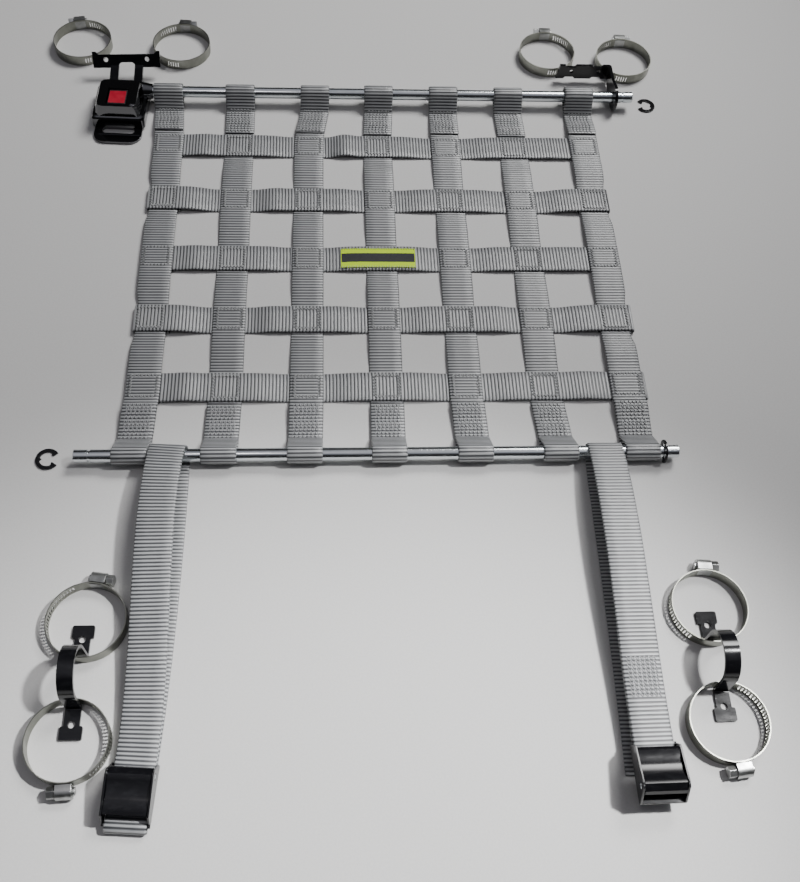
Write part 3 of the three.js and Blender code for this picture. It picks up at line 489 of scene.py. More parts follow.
def vertical_path(index):
    column = COLUMNS[index]
    plateaus = [(row["y"], column_level(index, r)) for r, row in enumerate(ROWS)][::-1]
    top_edge = plateaus[-1][0] + CROSSING_HALF
    bottom_edge = plateaus[0][0] - CROSSING_HALF

    def under(s):
        if s > top_edge:
            return mix(plateaus[-1][1], 0, smooth(clamp01((s - top_edge) / (TOP_TAIL[0] - top_edge))))
        if s < bottom_edge:
            part = (bottom_edge - s) / (bottom_edge - BOTTOM_TAIL[0])
            return mix(plateaus[0][1], 0, smooth(clamp01(part)))
        return under_side(plateaus, column["rise"], s)

    def at(s, layer):
        return (s, under(s) + layer * LAYER + WEBBING / 2)

    bottom_tail = [mix(BOTTOM_TAIL[1], BOTTOM_TAIL[0], t) for t in steps(20)]
    top_tail = [mix(TOP_TAIL[1], TOP_TAIL[0], t) for t in steps(20)]
    net = [mix(BOTTOM_TAIL[1], TOP_TAIL[1], t) for t in steps(280)][1:-1]
    bottom = (BOTTOM_ROD["y"], BOTTOM_ROD["z"])
    top = (TOP_ROD["y"], TOP_ROD["z"])
    top_radius = LOOP_RADIUS + column["slack"]
    over_bottom = tangent_angle(at(BOTTOM_TAIL[0], 1), bottom, LOOP_RADIUS, 1)
    under_bottom = tangent_angle(at(BOTTOM_TAIL[0], 0), bottom, LOOP_RADIUS, -1) + 2 * math.pi
    under_top = tangent_angle(at(TOP_TAIL[0], 0), top, top_radius, 1)
    over_top = tangent_angle(at(TOP_TAIL[0], 1), top, top_radius, -1) + 2 * math.pi
    line = [at(s, 1) for s in bottom_tail] + arc(*bottom, LOOP_RADIUS, over_bottom, under_bottom)
    line += [at(s, 0) for s in bottom_tail[::-1] + net + top_tail]
    line += arc(*top, top_radius, under_top, over_top) + [at(s, 1) for s in top_tail[::-1]]
    inward = 0.5 if index == 0 else -0.5
    path = []
    for s, z in line:
        drawn = drawn_in(index, s)
        path.append((column_centre(column, s) + inward * drawn, s, z, UP_THE_PAGE, WEBBING_WIDTH - drawn))
    return path


def end_fold(edge, outward, upper):
    lower = WEBBING / 2
    reach, middle = WEBBING / 2 + GAP, (upper + lower) / 2
    half = (upper - lower) / 2
    bend = []
    for t in steps(12):
        angle = mix(math.pi / 2, -math.pi / 2, t)
        bend.append((edge + outward * reach * abs(math.cos(angle)) ** 0.75, middle + half * math.sin(angle)))
    return bend


def cross_path(index):
    row = ROWS[index]
    plateaus = [(column["middle"], row_level(c, index)) for c, column in enumerate(COLUMNS)]
    last = len(COLUMNS) - 1
    half = WEBBING_WIDTH / 2
    left = COLUMNS[0]["middle"] - half + drawn_in(0, row["y"]) - row["left"]
    right_edge = COLUMNS[last]["middle"] + half - drawn_in(last, row["y"]) + row["right"]
    upper = row_level(0, index) + WEBBING / 2
    count = 340
    line = [(left + CROSS_TAIL, WEBBING / 2)] + end_fold(left, -1, upper)[::-1]
    for t in steps(count)[1:-1]:
        s = mix(left, right_edge, t)
        line.append((s, under_side(plateaus, row["rise"], s) + WEBBING / 2))
    line += end_fold(right_edge, 1, upper) + [(right_edge - CROSS_TAIL, WEBBING / 2)]
    return [(s, row["y"], z, 0.0, WEBBING_WIDTH) for s, z in line]


print("a vertical strap's path has", len(vertical_path(0)), "points")

# %% [markdown]
# ## The mounting straps
# Each one goes in a loop round the bottom rod. One run lies on the table, the other bows up on
# its way to a cam buckle. A cubic curve with a given slope at each end draws such a bow, because
# a stiff strap leaves the rod and enters the buckle in set directions.

# %% Paths of the mounting straps
MOUNT_LOOP = {"leave": 75, "foot": 22}
LEFT_MOUNT, RIGHT_MOUNT = table_of(
    ("lower_x", "upper_x", "lean", "slack", "x", "y", "z", "turn", "facing"),
    (-154.4, -156.8, 0.085, 1.4, -160.4, -399.6, 3.6, -4.5, -1),
    (154, 154.4, 0.0, 0, 155, -433.2, 12, 0.6, 1),
)
FREE_END = {"x": 150.4, "y": -414, "slope": 0.03}
BUCKLE = {"length": 36.5, "base": 1.8, "slot_to": 32.4}
ON_TABLE = WEBBING / 2


def hermite(a, b, slope_a, slope_b, t):
    square, cube = t * t, t ** 3
    return (a * (2 * cube - 3 * square + 1) + slope_a * (cube - 2 * square + t)
            + b * (3 * square - 2 * cube) + slope_b * (cube - square))


def on_buckle(mount, u, z):
    angle = math.radians(mount["turn"])
    x = mount["x"] - mount["facing"] * u * math.sin(angle)
    y = mount["y"] + mount["facing"] * u * math.cos(angle)
    return (x, y, z, UP_THE_PAGE + angle, WEBBING_WIDTH)


def eased(start, end, rise_start, rise_end, count):
    down = end[1] - start[1]
    nudge = 0.01

    def sway(t):
        return hermite(start[0], end[0], down / math.tan(start[3]), down / math.tan(end[3]), t)

    run = []
    for t in steps(count):
        heading = UP_THE_PAGE - math.atan((sway(t + nudge) - sway(t - nudge)) / (2 * nudge * down))
        z = hermite(start[2], end[2], rise_start, rise_end, t)
        run.append((sway(t), mix(start[1], end[1], t), z, heading, WEBBING_WIDTH))
    return run


def mount_loop(mount):
    foot = (BOTTOM_ROD["y"] - MOUNT_LOOP["foot"], ON_TABLE)
    centre = (BOTTOM_ROD["y"], BOTTOM_ROD["z"])
    radius = LOOP_RADIUS + mount["slack"]
    enter = tangent_angle(foot, centre, radius, 1) + 2 * math.pi
    leave = math.radians(MOUNT_LOOP["leave"]) + 2 * math.pi
    line = [foot] + arc(*centre, radius, enter, leave)
    loop = []
    for i, (s, z) in enumerate(line):
        part = 0 if i == 0 else (i / (len(line) - 1) * 12 + 1) / 14
        x = mix(mount["lower_x"], mount["upper_x"], part)
        loop.append((x, s, z, UP_THE_PAGE - mount["lean"] * part, WEBBING_WIDTH))
    return loop


LEAVE_SLOPE = 1 / math.tan(math.radians(MOUNT_LOOP["leave"]))


def left_mount_path(mount):
    tail = ON_TABLE + LAYER
    over_bar = mount["z"] + BUCKLE["base"] + GAP + WEBBING / 2
    radius = (over_bar - ON_TABLE) / 2
    loop = mount_loop(mount)
    throat = on_buckle(mount, 0, over_bar)
    length = loop[-1][1] - throat[1]
    path = [on_buckle(mount, u, tail) for u in (-30, -20, -10, 0, 10, 20, 26)]
    path += [on_buckle(mount, 27.6, tail), on_buckle(mount, 31.8, over_bar)]
    bend = arc(BUCKLE["length"], ON_TABLE + radius, radius, math.pi / 2, -math.pi / 2, 16)
    path += [on_buckle(mount, s, z) for s, z in bend]
    path += [on_buckle(mount, u, ON_TABLE) for u in (24, 12)]
    path += eased(on_buckle(mount, 0, ON_TABLE), loop[0], 0, 0, 90) + loop[1:]
    path += eased(loop[-1], throat, LEAVE_SLOPE * length, 0, 120)[1:]
    return path + [on_buckle(mount, u, over_bar) for u in (10, 22)]


def right_mount_path(mount):
    over_bar = mount["z"] + BUCKLE["base"] + GAP + WEBBING / 2
    under_bar = mount["z"] - GAP - WEBBING / 2
    radius = (over_bar - under_bar) / 2
    loop = mount_loop(mount)
    bar_end = on_buckle(mount, BUCKLE["length"] + 2, over_bar)
    upper = eased(loop[-1], bar_end, LEAVE_SLOPE * (loop[-1][1] - bar_end[1]), 0, 120)
    below = [(x, y, z - LAYER - GAP / 2, h, w) for x, y, z, h, w in upper[-43:-13]]
    bend = arc(BUCKLE["slot_to"], under_bar + radius, radius, -math.pi / 2, -math.pi * 1.5, 16)
    free_end = (FREE_END["x"], FREE_END["y"], ON_TABLE, UP_THE_PAGE - FREE_END["slope"], WEBBING_WIDTH)
    path = below + [on_buckle(mount, BUCKLE["length"] + 2.5, under_bar)]
    path += [on_buckle(mount, s, z) for s, z in bend] + upper[::-1] + loop[::-1][1:]
    return path + eased(loop[0], free_end, 0, 0, 90)[1:]


print("left strap's path has", len(left_mount_path(LEFT_MOUNT)), "points")

# %% [markdown]
# ## From a path to woven webbing
# The path is walked in even steps, eight to each rib, with a ring of twelve corners at every
# step. Each corner remembers how far along the strap it is and which way is out. A Geometry
# Nodes tree then lifts the ribs from those.

# %% Stations along a strap
RIB_PITCH = 2.65
STEPS_PER_RIB = 8
SECTION = [(-0.94, 1), (-0.4, 1), (0.4, 1), (0.94, 1), (1, 0.45), (1, -0.45),
           (0.94, -1), (0.4, -1), (-0.4, -1), (-0.94, -1), (-1, -0.45), (-1, 0.45)]
CORE_HALF = 0.44
SEALED_END = 0.3
SEALED_LENGTH = 3
EDGE_INSET = 0.42


def stations_along(path):
    places = [Vector(p[:3]) for p in path]
    along = [0.0]
    for a, b in zip(places, places[1:]):
        along.append(along[-1] + (b - a).length)
    count = round(along[-1] / RIB_PITCH) * STEPS_PER_RIB
    rows, k = [], 0
    for t in steps(count):
        run = t * along[-1]
        while k < len(along) - 2 and along[k + 1] < run:
            k += 1
        part = (run - along[k]) / max(along[k + 1] - along[k], 1e-9)
        values = [mix(a, b, part) for a, b in zip(path[k], path[k + 1])]
        rows.append((run, Vector(values[:3]), values[3], values[4]))
    made = []
    for i, (run, centre, heading, width) in enumerate(rows):
        before = rows[max(0, i - 1)][1]
        after = rows[min(len(rows) - 1, i + 1)][1]
        hx, hy = math.cos(heading), math.sin(heading)
        step = after - before
        normal = Vector((-hx * step.z, -hy * step.z, step.x * hx + step.y * hy)).normalized()
        made.append({"run": run, "centre": centre, "across": Vector((hy, -hx, 0)),
                     "normal": normal, "width": width})
    return made


def ribbon(name, stations):
    points, out, run, weave = [], [], [], []
    for station in stations:
        from_end = min(station["run"], stations[-1]["run"] - station["run"])
        core = CORE_HALF * mix(SEALED_END, 1, smooth(clamp01(from_end / SEALED_LENGTH)))
        for side, face in SECTION:
            reach = station["width"] / 2 - EDGE_INSET
            offset = station["across"] * side * reach + station["normal"] * face * core
            points.append(station["centre"] + offset)
            edge = abs(side) == 1
            push = station["across"] * side if edge else station["normal"] * face
            out.append(push)
            run.append(station["run"])
            weave.append((side * reach + (face if edge else 0), station["run"], 0))
    piece = mesh_piece(name, points, tube_faces(len(stations), len(SECTION)), WEBBING_CLOTH)
    vectors_on(piece, "out", out)
    vectors_on(piece, "weave", weave)
    piece.data.attributes.new("run", "FLOAT", "POINT").data.foreach_set("value", run)
    face_outward(piece)
    piece.data.shade_smooth()
    return piece


print("each rib takes", STEPS_PER_RIB, "rings of", len(SECTION), "corners")

# %% [markdown]
# ## Geometry Nodes: ribs
# The tree turns each corner's place along the strap into a rounded hill that repeats at the
# weave's pitch. A sine raised to a power below one is broad on top and narrow at its foot, as a
# packed yarn is. The height is kept with each corner, so the material can paint shade into the groove.

# %% Rib tree


def new_tree(name, inputs):
    tree = bpy.data.node_groups.new(name, "GeometryNodeTree")
    tree.interface.new_socket("Geometry", in_out="INPUT", socket_type="NodeSocketGeometry")
    for label, kind, value in inputs:
        socket = tree.interface.new_socket(label, in_out="INPUT", socket_type="NodeSocket" + kind)
        if value is not None:
            socket.default_value = value
    tree.interface.new_socket("Geometry", in_out="OUTPUT", socket_type="NodeSocketGeometry")
    return tree, tree.nodes.new("NodeGroupInput").outputs


def finish_tree(tree, geometry, material):
    real = add_node(tree, "GeometryNodeRealizeInstances", {"Geometry": geometry})
    dyed = add_node(tree, "GeometryNodeSetMaterial", {"Geometry": real.outputs[0], "Material": material})
    add_node(tree, "NodeGroupOutput", {"Geometry": dyed.outputs[0]})
    return tree


def named(tree, key, kind="FLOAT"):
    return add_node(tree, "GeometryNodeInputNamedAttribute", {"Name": key}, data_type=kind).outputs[0]


def rib_tree():
    tree, given = new_tree("webbing ribs", [
        ("Pitch", "Float", RIB_PITCH), ("Rib height", "Float", 0.36 * MM),
        ("Roundness", "Float", 0.8), ("Unevenness", "Float", 0.05 * MM),
        ("Material", "Material", None)])
    turns = maths(tree, "DIVIDE", named(tree, "run"), given["Pitch"])
    wave = maths(tree, "ABSOLUTE", maths(tree, "SINE", maths(tree, "MULTIPLY", turns, math.pi)))
    hill = maths(tree, "POWER", wave, given["Roundness"])
    # The rib height is kept so the webbing material can paint shade into the grooves.
    kept = add_node(tree, "GeometryNodeStoreNamedAttribute",
                    {"Geometry": given["Geometry"], "Name": "rib", "Value": hill})
    wobble = noise(tree, add_node(tree, "GeometryNodeInputPosition").outputs[0], 160, 2)
    uneven = maths(tree, "MULTIPLY", maths(tree, "SUBTRACT", wobble, 0.5), given["Unevenness"])
    lift = maths(tree, "ADD", maths(tree, "MULTIPLY", hill, given["Rib height"]), uneven)
    outward = named(tree, "out", "FLOAT_VECTOR")
    offset = add_node(tree, "ShaderNodeVectorMath", {0: outward, "Scale": lift}, operation="SCALE")
    moved = add_node(tree, "GeometryNodeSetPosition",
                     {"Geometry": kept.outputs[0], "Offset": offset.outputs[0]})
    return finish_tree(tree, moved.outputs[0], given["Material"])


def bake(piece, modifier):
    graph = bpy.context.evaluated_depsgraph_get()
    mesh = bpy.data.meshes.new_from_object(piece.evaluated_get(graph), preserve_all_data_layers=True,
                                           depsgraph=graph)
    piece.modifiers.remove(modifier)
    piece.data = mesh
    return piece


def run_tree(piece, tree, **inputs):
    modifier = piece.modifiers.new(tree.name, "NODES")
    modifier.node_group = tree
    for item in tree.interface.items_tree:
        key = item.name.replace(" ", "_").lower()
        if item.in_out == "INPUT" and key in inputs:
            modifier[item.identifier] = inputs[key]
    return bake(piece, modifier)


RIBS = rib_tree()


def woven(name, path, node):
    stations = stations_along(path)
    piece = run_tree(ribbon(name, stations), RIBS, material=WEBBING_CLOTH)
    enrolled(piece, node=node)
    return piece, stations


plans = [(f"v{i + 1}", vertical_path(i), "stretched", ["rod_top", "rod_bottom"])
         for i in range(len(COLUMNS))]
plans += [(f"h{i + 1}", cross_path(i), "laid", ["webbing_v1", "webbing_v7"]) for i in range(len(ROWS))]
plans += [("left", left_mount_path(LEFT_MOUNT), "hung", ["rod_bottom"]),
          ("right", right_mount_path(RIGHT_MOUNT), "hung", ["rod_bottom"])]
straps = {}
for key, path, held, rests_on in plans:
    kind = "mount_" if held == "hung" else ""
    piece, stations = woven(f"{kind}webbing_{key}", path, f"{kind}strap_{key}")
    straps[key] = stations
    print(key, "cut length", round(stations[-1]["run"]), "mm,", len(piece.data.polygons), "faces")

# %% [markdown]
# ## Geometry Nodes: stitches
# Every crossing is held by a square of zigzag sewing, and each tail at a rod by rows of it. The
# seams are planned as points that know the direction and length of their stitch, and a tree
# puts a short plump grain of thread on each.

# %% Stitch tree
THREAD_RADIUS = 0.34
THREAD_LIFT = 0.28
SQUARE = {"half_run": 9.2, "half_side": 9.4, "width": 2.8, "pitch": 1.3}
PATCH = {"half_side": 9.6, "width": 2.9, "pitch": 1.45}


def stitch_tree():
    tree, given = new_tree("stitches", [
        ("Thread radius", "Float", THREAD_RADIUS * MM), ("Seed", "Int", 7),
        ("Material", "Material", None)])
    grain = add_node(tree, "GeometryNodeMeshUVSphere", {"Segments": 8, "Rings": 5, "Radius": 1.0})
    along = named(tree, "along", "FLOAT_VECTOR")
    size = add_node(tree, "ShaderNodeVectorMath", {0: along}, operation="LENGTH").outputs["Value"]
    face = add_node(tree, "FunctionNodeAlignRotationToVector", {"Vector": along}, axis="X")
    loose = add_node(tree, "FunctionNodeRandomValue", {2: 0.85, 3: 1.15, "Seed": given["Seed"]})
    thick = maths(tree, "MULTIPLY", given["Thread radius"], loose.outputs[1])
    length = maths(tree, "MULTIPLY", size, 0.55)
    shape = add_node(tree, "ShaderNodeCombineXYZ", {0: length, 1: thick, 2: thick})
    placed = add_node(tree, "GeometryNodeInstanceOnPoints", {
        "Points": given["Geometry"], "Instance": grain.outputs["Mesh"],
        "Rotation": face.outputs[0], "Scale": shape.outputs[0]})
    soft = add_node(tree, "GeometryNodeSetShadeSmooth", {"Geometry": placed.outputs[0]})
    return finish_tree(tree, soft.outputs[0], given["Material"])


STITCHES = stitch_tree()


def on_strap(stations, run, side):
    step = stations[1]["run"] - stations[0]["run"]
    station = stations[min(len(stations) - 1, max(0, round(run / step)))]
    lift = (WEBBING / 2 + THREAD_LIFT) * (1 if station["normal"].z > 0 else -1)
    return station["centre"] + station["across"] * side + station["normal"] * lift


def seam(name, rows_of_holes):
    """Each row is a list of needle holes, and a stitch joins each hole to the next."""
    points, along = [], []
    for holes in rows_of_holes:
        for a, b in zip(holes, holes[1:]):
            points.append((a + b) / 2)
            along.append((b - a) * MM)
    piece = mesh_piece(name, points, [], THREAD)
    vectors_on(piece, "along", along)
    return enrolled(run_tree(piece, STITCHES, material=THREAD))


def zigzag(stations, start, end, width, pitch):
    """Needle holes from start to end, each a pair (along the strap, across it)."""
    length = math.hypot(end[0] - start[0], end[1] - start[1])
    count = max(2, round(length / pitch))
    ux, uy = (end[0] - start[0]) / length, (end[1] - start[1]) / length
    holes = []
    for i in range(count + 1):
        sway = width / 2 * (1 if i % 2 else -1)
        run = start[0] + ux * length * i / count - uy * sway
        side = start[1] + uy * length * i / count + ux * sway
        holes.append(on_strap(stations, run, side))
    return holes


def square_seam(stations, centre_run):
    low, high, side = centre_run - SQUARE["half_run"], centre_run + SQUARE["half_run"], SQUARE["half_side"]
    corners = [(low, -side), (low, side), (high, side), (high, -side), (low, -side)]
    return [zigzag(stations, a, b, SQUARE["width"], SQUARE["pitch"]) for a, b in zip(corners, corners[1:])]


def patch_seam(stations, low, high, rows):
    side = PATCH["half_side"]
    runs = [mix(low, high, t) for t in steps(rows - 1)]
    return [zigzag(stations, (run, -side), (run, side), PATCH["width"], PATCH["pitch"]) for run in runs]


def run_at(stations, axis, value):
    """How far along a strap its run through the net passes a given place."""
    flat = [s for s in stations if s["normal"].z > 0.5]
    return min(flat, key=lambda s: abs(s["centre"][axis] - value))["run"]


# %% Sew the net
TAIL_ROWS = 9
TAIL = (2.4, 29)
for index, column in enumerate(COLUMNS):
    stations = straps[f"v{index + 1}"]
    seams = []
    for r, row in enumerate(ROWS):
        if column_is_over(index, r):
            seams += square_seam(stations, run_at(stations, 1, row["y"]))
    seams += patch_seam(stations, *TAIL, TAIL_ROWS)
    end = stations[-1]["run"]
    seams += patch_seam(stations, end - TAIL[1] + 1, end - TAIL[0], TAIL_ROWS)
    seam(f"sewing_v{index + 1}", seams)
for r, row in enumerate(ROWS):
    stations = straps[f"h{r + 1}"]
    seams = []
    for index, column in enumerate(COLUMNS):
        if not column_is_over(index, r):
            seams += square_seam(stations, run_at(stations, 0, column["middle"]))
    seam(f"sewing_h{r + 1}", seams)
print("sewn crossings:", len(COLUMNS) * len(ROWS))

# %% Sew the mounting straps
LEFT_PATCH = (3, 26, 8)
RIGHT_PATCH = {"far_y": -344.2, "near_y": -368.2, "rows": 10, "above": 10, "past_tail": 60}
seam("sewing_left", patch_seam(straps["left"], *LEFT_PATCH))
upper_runs = [s["run"] for s in straps["right"]
              if s["centre"].z > RIGHT_PATCH["above"] and s["run"] > RIGHT_PATCH["past_tail"]
              and RIGHT_PATCH["near_y"] < s["centre"].y < RIGHT_PATCH["far_y"]]
low, high = min(upper_runs), max(upper_runs)
seam("sewing_right", patch_seam(straps["right"], low, high, RIGHT_PATCH["rows"]))
print("mounting strap seams from", round(low), "to", round(high), "mm along the right strap")

# %% [markdown]
# ## The sewn label
# A narrow tab of bright satin with a dark band along its middle is sewn to the middle cross
# strap. Its satin weave runs along it, and its edges are whipped down along both sides.

# %% Label
LABEL = {"x": -3.4, "y": -1.1, "length": 60, "width": 19.6, "thickness": 0.9}
DARK_BAND = {"half": 4.75, "short_of_end": 0.5}


def label_material():
    material, tree = new_material("label satin")
    weave = add_node(tree, "ShaderNodeAttribute", attribute_name="weave").outputs["Vector"]
    parts = add_node(tree, "ShaderNodeSeparateXYZ", {0: weave})
    edge = maths(tree, "ABSOLUTE", parts.outputs[0])
    ragged = maths(tree, "MULTIPLY", noise(tree, weave, 2.2, 2), 0.35)
    beside = maths(tree, "GREATER_THAN", maths(tree, "ADD", edge, ragged), DARK_BAND["half"])
    middle = LABEL["length"] / 2
    from_middle = maths(tree, "ABSOLUTE", maths(tree, "SUBTRACT", parts.outputs[1], middle))
    beyond = maths(tree, "GREATER_THAN", from_middle, middle - DARK_BAND["short_of_end"])
    bright = maths(tree, "MAXIMUM", beside, beyond)
    satin = add_node(tree, "ShaderNodeTexWave", {"Vector": weave, "Scale": 1.1, "Distortion": 0.3},
                     bands_direction="Y").outputs["Fac"]
    lime = ramp(tree, satin, (0.2, (0.52, 0.78, 0)), (0.8, (0.66, 0.92, 0)))
    dark = ramp(tree, satin, (0.2, (0.012, 0.013, 0.015)), (0.8, (0.035, 0.036, 0.04)))
    return painted(material, Base_Color=mixed(tree, bright, dark, lime), Roughness=0.5,
                   Normal=bump(tree, satin, 0.00008, 0.5), Specular_IOR_Level=0.2)


LABEL_SATIN = label_material()


def label_piece():
    middle_row = 2
    plateaus = [(column["middle"], row_level(c, middle_row)) for c, column in enumerate(COLUMNS)]
    lift = WEBBING + GAP + LABEL["thickness"] / 2
    path = []
    for t in steps(60):
        x = LABEL["x"] + mix(-LABEL["length"] / 2, LABEL["length"] / 2, t)
        z = under_side(plateaus, ROWS[middle_row]["rise"], x) + lift
        path.append((x, LABEL["y"], z, 0.0, LABEL["width"]))
    points, weave = [], []
    columns = 8
    top = 0.18
    for x, y, z, heading, width in path:
        for face in (top, -LABEL["thickness"] / 2):
            for t in steps(columns):
                side = mix(-width / 2, width / 2, t)
                drop = 0.22 * abs(side / (width / 2)) ** 6 if face > 0 else 0
                points.append((x, y + side, z + face - drop))
                weave.append((side, x - LABEL["x"] + LABEL["length"] / 2, 0))
    ring = 2 * (columns + 1)
    order = list(range(columns + 1)) + list(range(ring - 1, columns, -1))
    piece = mesh_piece("label_tab", points, tube_faces(len(path), ring, order), LABEL_SATIN)
    vectors_on(piece, "weave", weave)
    face_outward(piece)
    shade(piece, 50)
    return enrolled(piece, node="label"), path


label, label_path = label_piece()
whips = []
for x, y, z, heading, width in label_path[1::2]:
    for side in (-1, 1):
        edge = y + side * width / 2
        outer = Vector((x - 0.2, edge + side * 1.1, z - 0.1))
        inner = Vector((x + 0.2, edge - side * 1.3, z + 0.42))
        whips.append([outer, inner])
seam("sewing_label", whips)
print("label sewn with", len(whips), "stitches")

# %% [markdown]
# ## Rods
# The two rods are turned bars with a chamfer at each end and a groove for each clip. A profile
# is spun round to make them, with enough sides to keep the bright line unbroken.

# %% Rods


def turned_rod(name, rod, node):
    chamfer, groove_radius, half = 0.8, 3.9, 0.9
    profile = [(0, rod["from"]), (ROD_RADIUS - chamfer, rod["from"]), (ROD_RADIUS, rod["from"] + chamfer)]
    for at in rod["grooves"]:
        profile += [(ROD_RADIUS, at - half), (groove_radius, at - half)]
        profile += [(groove_radius, at + half), (ROD_RADIUS, at + half)]
    profile += [(ROD_RADIUS, rod["to"] - chamfer), (ROD_RADIUS - chamfer, rod["to"]), (0, rod["to"])]
    sides = 64
    points = []
    for radius, x in profile:
        for k in range(sides):
            angle = 2 * math.pi * k / sides
            points.append((x, rod["y"] + radius * math.cos(angle), rod["z"] + radius * math.sin(angle)))
    piece = mesh_piece(name, points, tube_faces(len(profile), sides, caps=False), ROD_METAL)
    face_outward(piece, weld=1e-6)
    shade(piece)
    return enrolled(piece, node=node)


turned_rod("top_rod", TOP_ROD, "rod_top")
turned_rod("bottom_rod", BOTTOM_ROD, "rod_bottom")
print("rods turned")

# %% [markdown]
# ## Pressed and lacquered steel
# The engineering model has the right shapes but razor-sharp edges, and a pressed part has
# rounded ones that catch a thin line of light. Each is copied, its flat faces are joined again,
# and a bevel softens every real edge. Weighted normals then keep the large faces flat.

# %% Softened copies of the steel parts


def softened(node, name, body, material, radius, segments=2, angle=30):
    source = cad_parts[node]
    mesh = source.data.copy()
    mesh.transform(source.matrix_world)
    mesh.materials.clear()
    mesh.materials.append(material)
    form = bmesh.new()
    form.from_mesh(mesh)
    bmesh.ops.remove_doubles(form, verts=form.verts, dist=2e-6)
    bmesh.ops.dissolve_limit(form, angle_limit=math.radians(2), verts=form.verts, edges=form.edges)
    bmesh.ops.recalc_face_normals(form, faces=form.faces)
    sharp = [e for e in form.edges if len(e.link_faces) == 2 and e.calc_face_angle() > math.radians(angle)]
    bmesh.ops.bevel(form, geom=sharp, offset=radius * MM, offset_type="OFFSET", segments=segments,
                    profile=0.6, affect="EDGES", clamp_overlap=True)
    form.to_mesh(mesh)
    form.free()
    piece = new_object(name, mesh)
    shade(piece, 50)
    even = piece.modifiers.new("even normals", "WEIGHTED_NORMAL")
    even.keep_sharp = True
    return enrolled(bake(piece, even), body, node)


for side in ("left", "right"):
    softened(f"buckle_frame_{side}", f"frame_of_buckle_{side}", "net", LACQUER, 0.5, 3)
    softened(f"buckle_lever_{side}", f"cam_lever_{side}", f"lever_{side}", LACQUER, 0.5, 3)
    softened(f"buckle_pin_{side}", f"cam_pin_{side}", "net", ROD_METAL, 0.25)
    softened(f"hoop_{side}", f"footed_hoop_{side}", "net", LACQUER, 0.35)
softened("latch_tongue", "forked_tongue", "tongue", LACQUER, 0.4)
softened("rod_bracket", "eye_bracket", "bracket", LACQUER, 0.35)
for place in ("left", "right", "rod"):
    softened(f"e_clip_{place}", f"spring_clip_{place}", "net", LACQUER, 0.18)
softened("latch_base", "latch_plate", "net", CHROME, 0.8, 4)
softened("latch_case", "latch_cover", "net", CHROME, 1.3, 5, 20)
softened("latch_button", "red_button", "button", BUTTON_RED, 0.3)
print("steel parts softened")

# %% [markdown]
# ## Worm-drive clamps
# Each clamp is a thin steel band with a pressed housing and a screw with a hexagonal head. Only
# part of the band has slots for the worm. Geometry Nodes repeats a slotted cell of band round
# the ring there, and a plain cell round the rest.

# %% Clamp bands
CLAMPS = table_of(
    ("name", "x", "y", "housing", "head"),
    ("upper_left_1", -266.7, 253.6, 102, -1),
    ("upper_left_2", -177.1, 250.5, 86.5, 1),
    ("upper_right_1", 161.2, 247.3, 88, -1),
    ("upper_right_2", 232.5, 239.4, 88.5, 1),
    ("lower_left_1", -199.7, -308.3, 81, 1),
    ("lower_left_2", -202.5, -385.2, -87, 1),
    ("lower_right_1", 209.5, -305.9, 86, 1),
    ("lower_right_2", 207.3, -383.4, -83, 1),
)
BAND = {"radius": 25.4, "thickness": 0.7, "height": 9.5, "cells": 72}
SLOT = {"from": 2.3, "to": 7.2, "width": 0.46, "slant": 0.12}


def band_cell(slotted):
    """One cell of the band, centred on +X: a frame round its slot, bent to the ring."""
    half = math.pi / BAND["cells"]
    heights = [0, SLOT["from"], SLOT["to"], BAND["height"]]
    sides = [-half, -half * SLOT["width"], half * SLOT["width"], half]
    points, faces = [], []
    for face in (-0.5, 0.5):
        for h, z in enumerate(heights):
            for k, angle in enumerate(sides):
                inner = k in (1, 2) and h in (1, 2)
                lean = SLOT["slant"] * half * (1 if h == 2 else -1) if inner else 0
                radius = BAND["radius"] + face * BAND["thickness"]
                points.append((radius * math.cos(angle + lean), radius * math.sin(angle + lean), z))
    for row in range(3):
        for k in range(3):
            if slotted and row == 1 and k == 1:
                continue
            a = row * 4 + k
            faces += [(a, a + 4, a + 5, a + 1), (a + 16, a + 17, a + 21, a + 20)]
    for k in range(3):
        faces += [(k, k + 1, k + 17, k + 16), (k + 12, k + 28, k + 29, k + 13)]
    if slotted:
        for a, b in ((5, 6), (6, 10), (10, 9), (9, 5)):
            faces.append((a, a + 16, b + 16, b))
    name = "slotted cell" if slotted else "plain cell"
    cell = mesh_piece(name, points, faces, CLAMP_STEEL)
    cell.hide_render = True
    return cell


def band_tree():
    tree, given = new_tree("clamp band", [
        ("Cells", "Int", BAND["cells"]), ("Slotted cell", "Object", None),
        ("Plain cell", "Object", None), ("Material", "Material", None)])
    number = add_node(tree, "GeometryNodeInputIndex").outputs[0]
    whole_turn = maths(tree, "DIVIDE", 2 * math.pi, given["Cells"])
    angle = maths(tree, "MULTIPLY", number, whole_turn)
    rotation = add_node(tree, "ShaderNodeCombineXYZ", {2: angle})
    chosen = named(tree, "slotted", "BOOLEAN")
    others = add_node(tree, "FunctionNodeBooleanMath", {0: chosen}, operation="NOT").outputs[0]
    rings = []
    for label, picked in (("Slotted cell", chosen), ("Plain cell", others)):
        source = add_node(tree, "GeometryNodeObjectInfo", {"Object": given[label]}).outputs["Geometry"]
        ring = add_node(tree, "GeometryNodeInstanceOnPoints", {
            "Points": given["Geometry"], "Selection": picked, "Instance": source,
            "Rotation": rotation.outputs[0]})
        rings.append(ring.outputs[0])
    both = add_node(tree, "GeometryNodeJoinGeometry")
    for ring in rings:
        tree.links.new(ring, both.inputs[0])
    real = add_node(tree, "GeometryNodeRealizeInstances", {"Geometry": both.outputs[0]})
    welded = add_node(tree, "GeometryNodeMergeByDistance", {
        "Geometry": real.outputs[0], "Distance": 0.00002})
    return finish_tree(tree, welded.outputs[0], given["Material"])


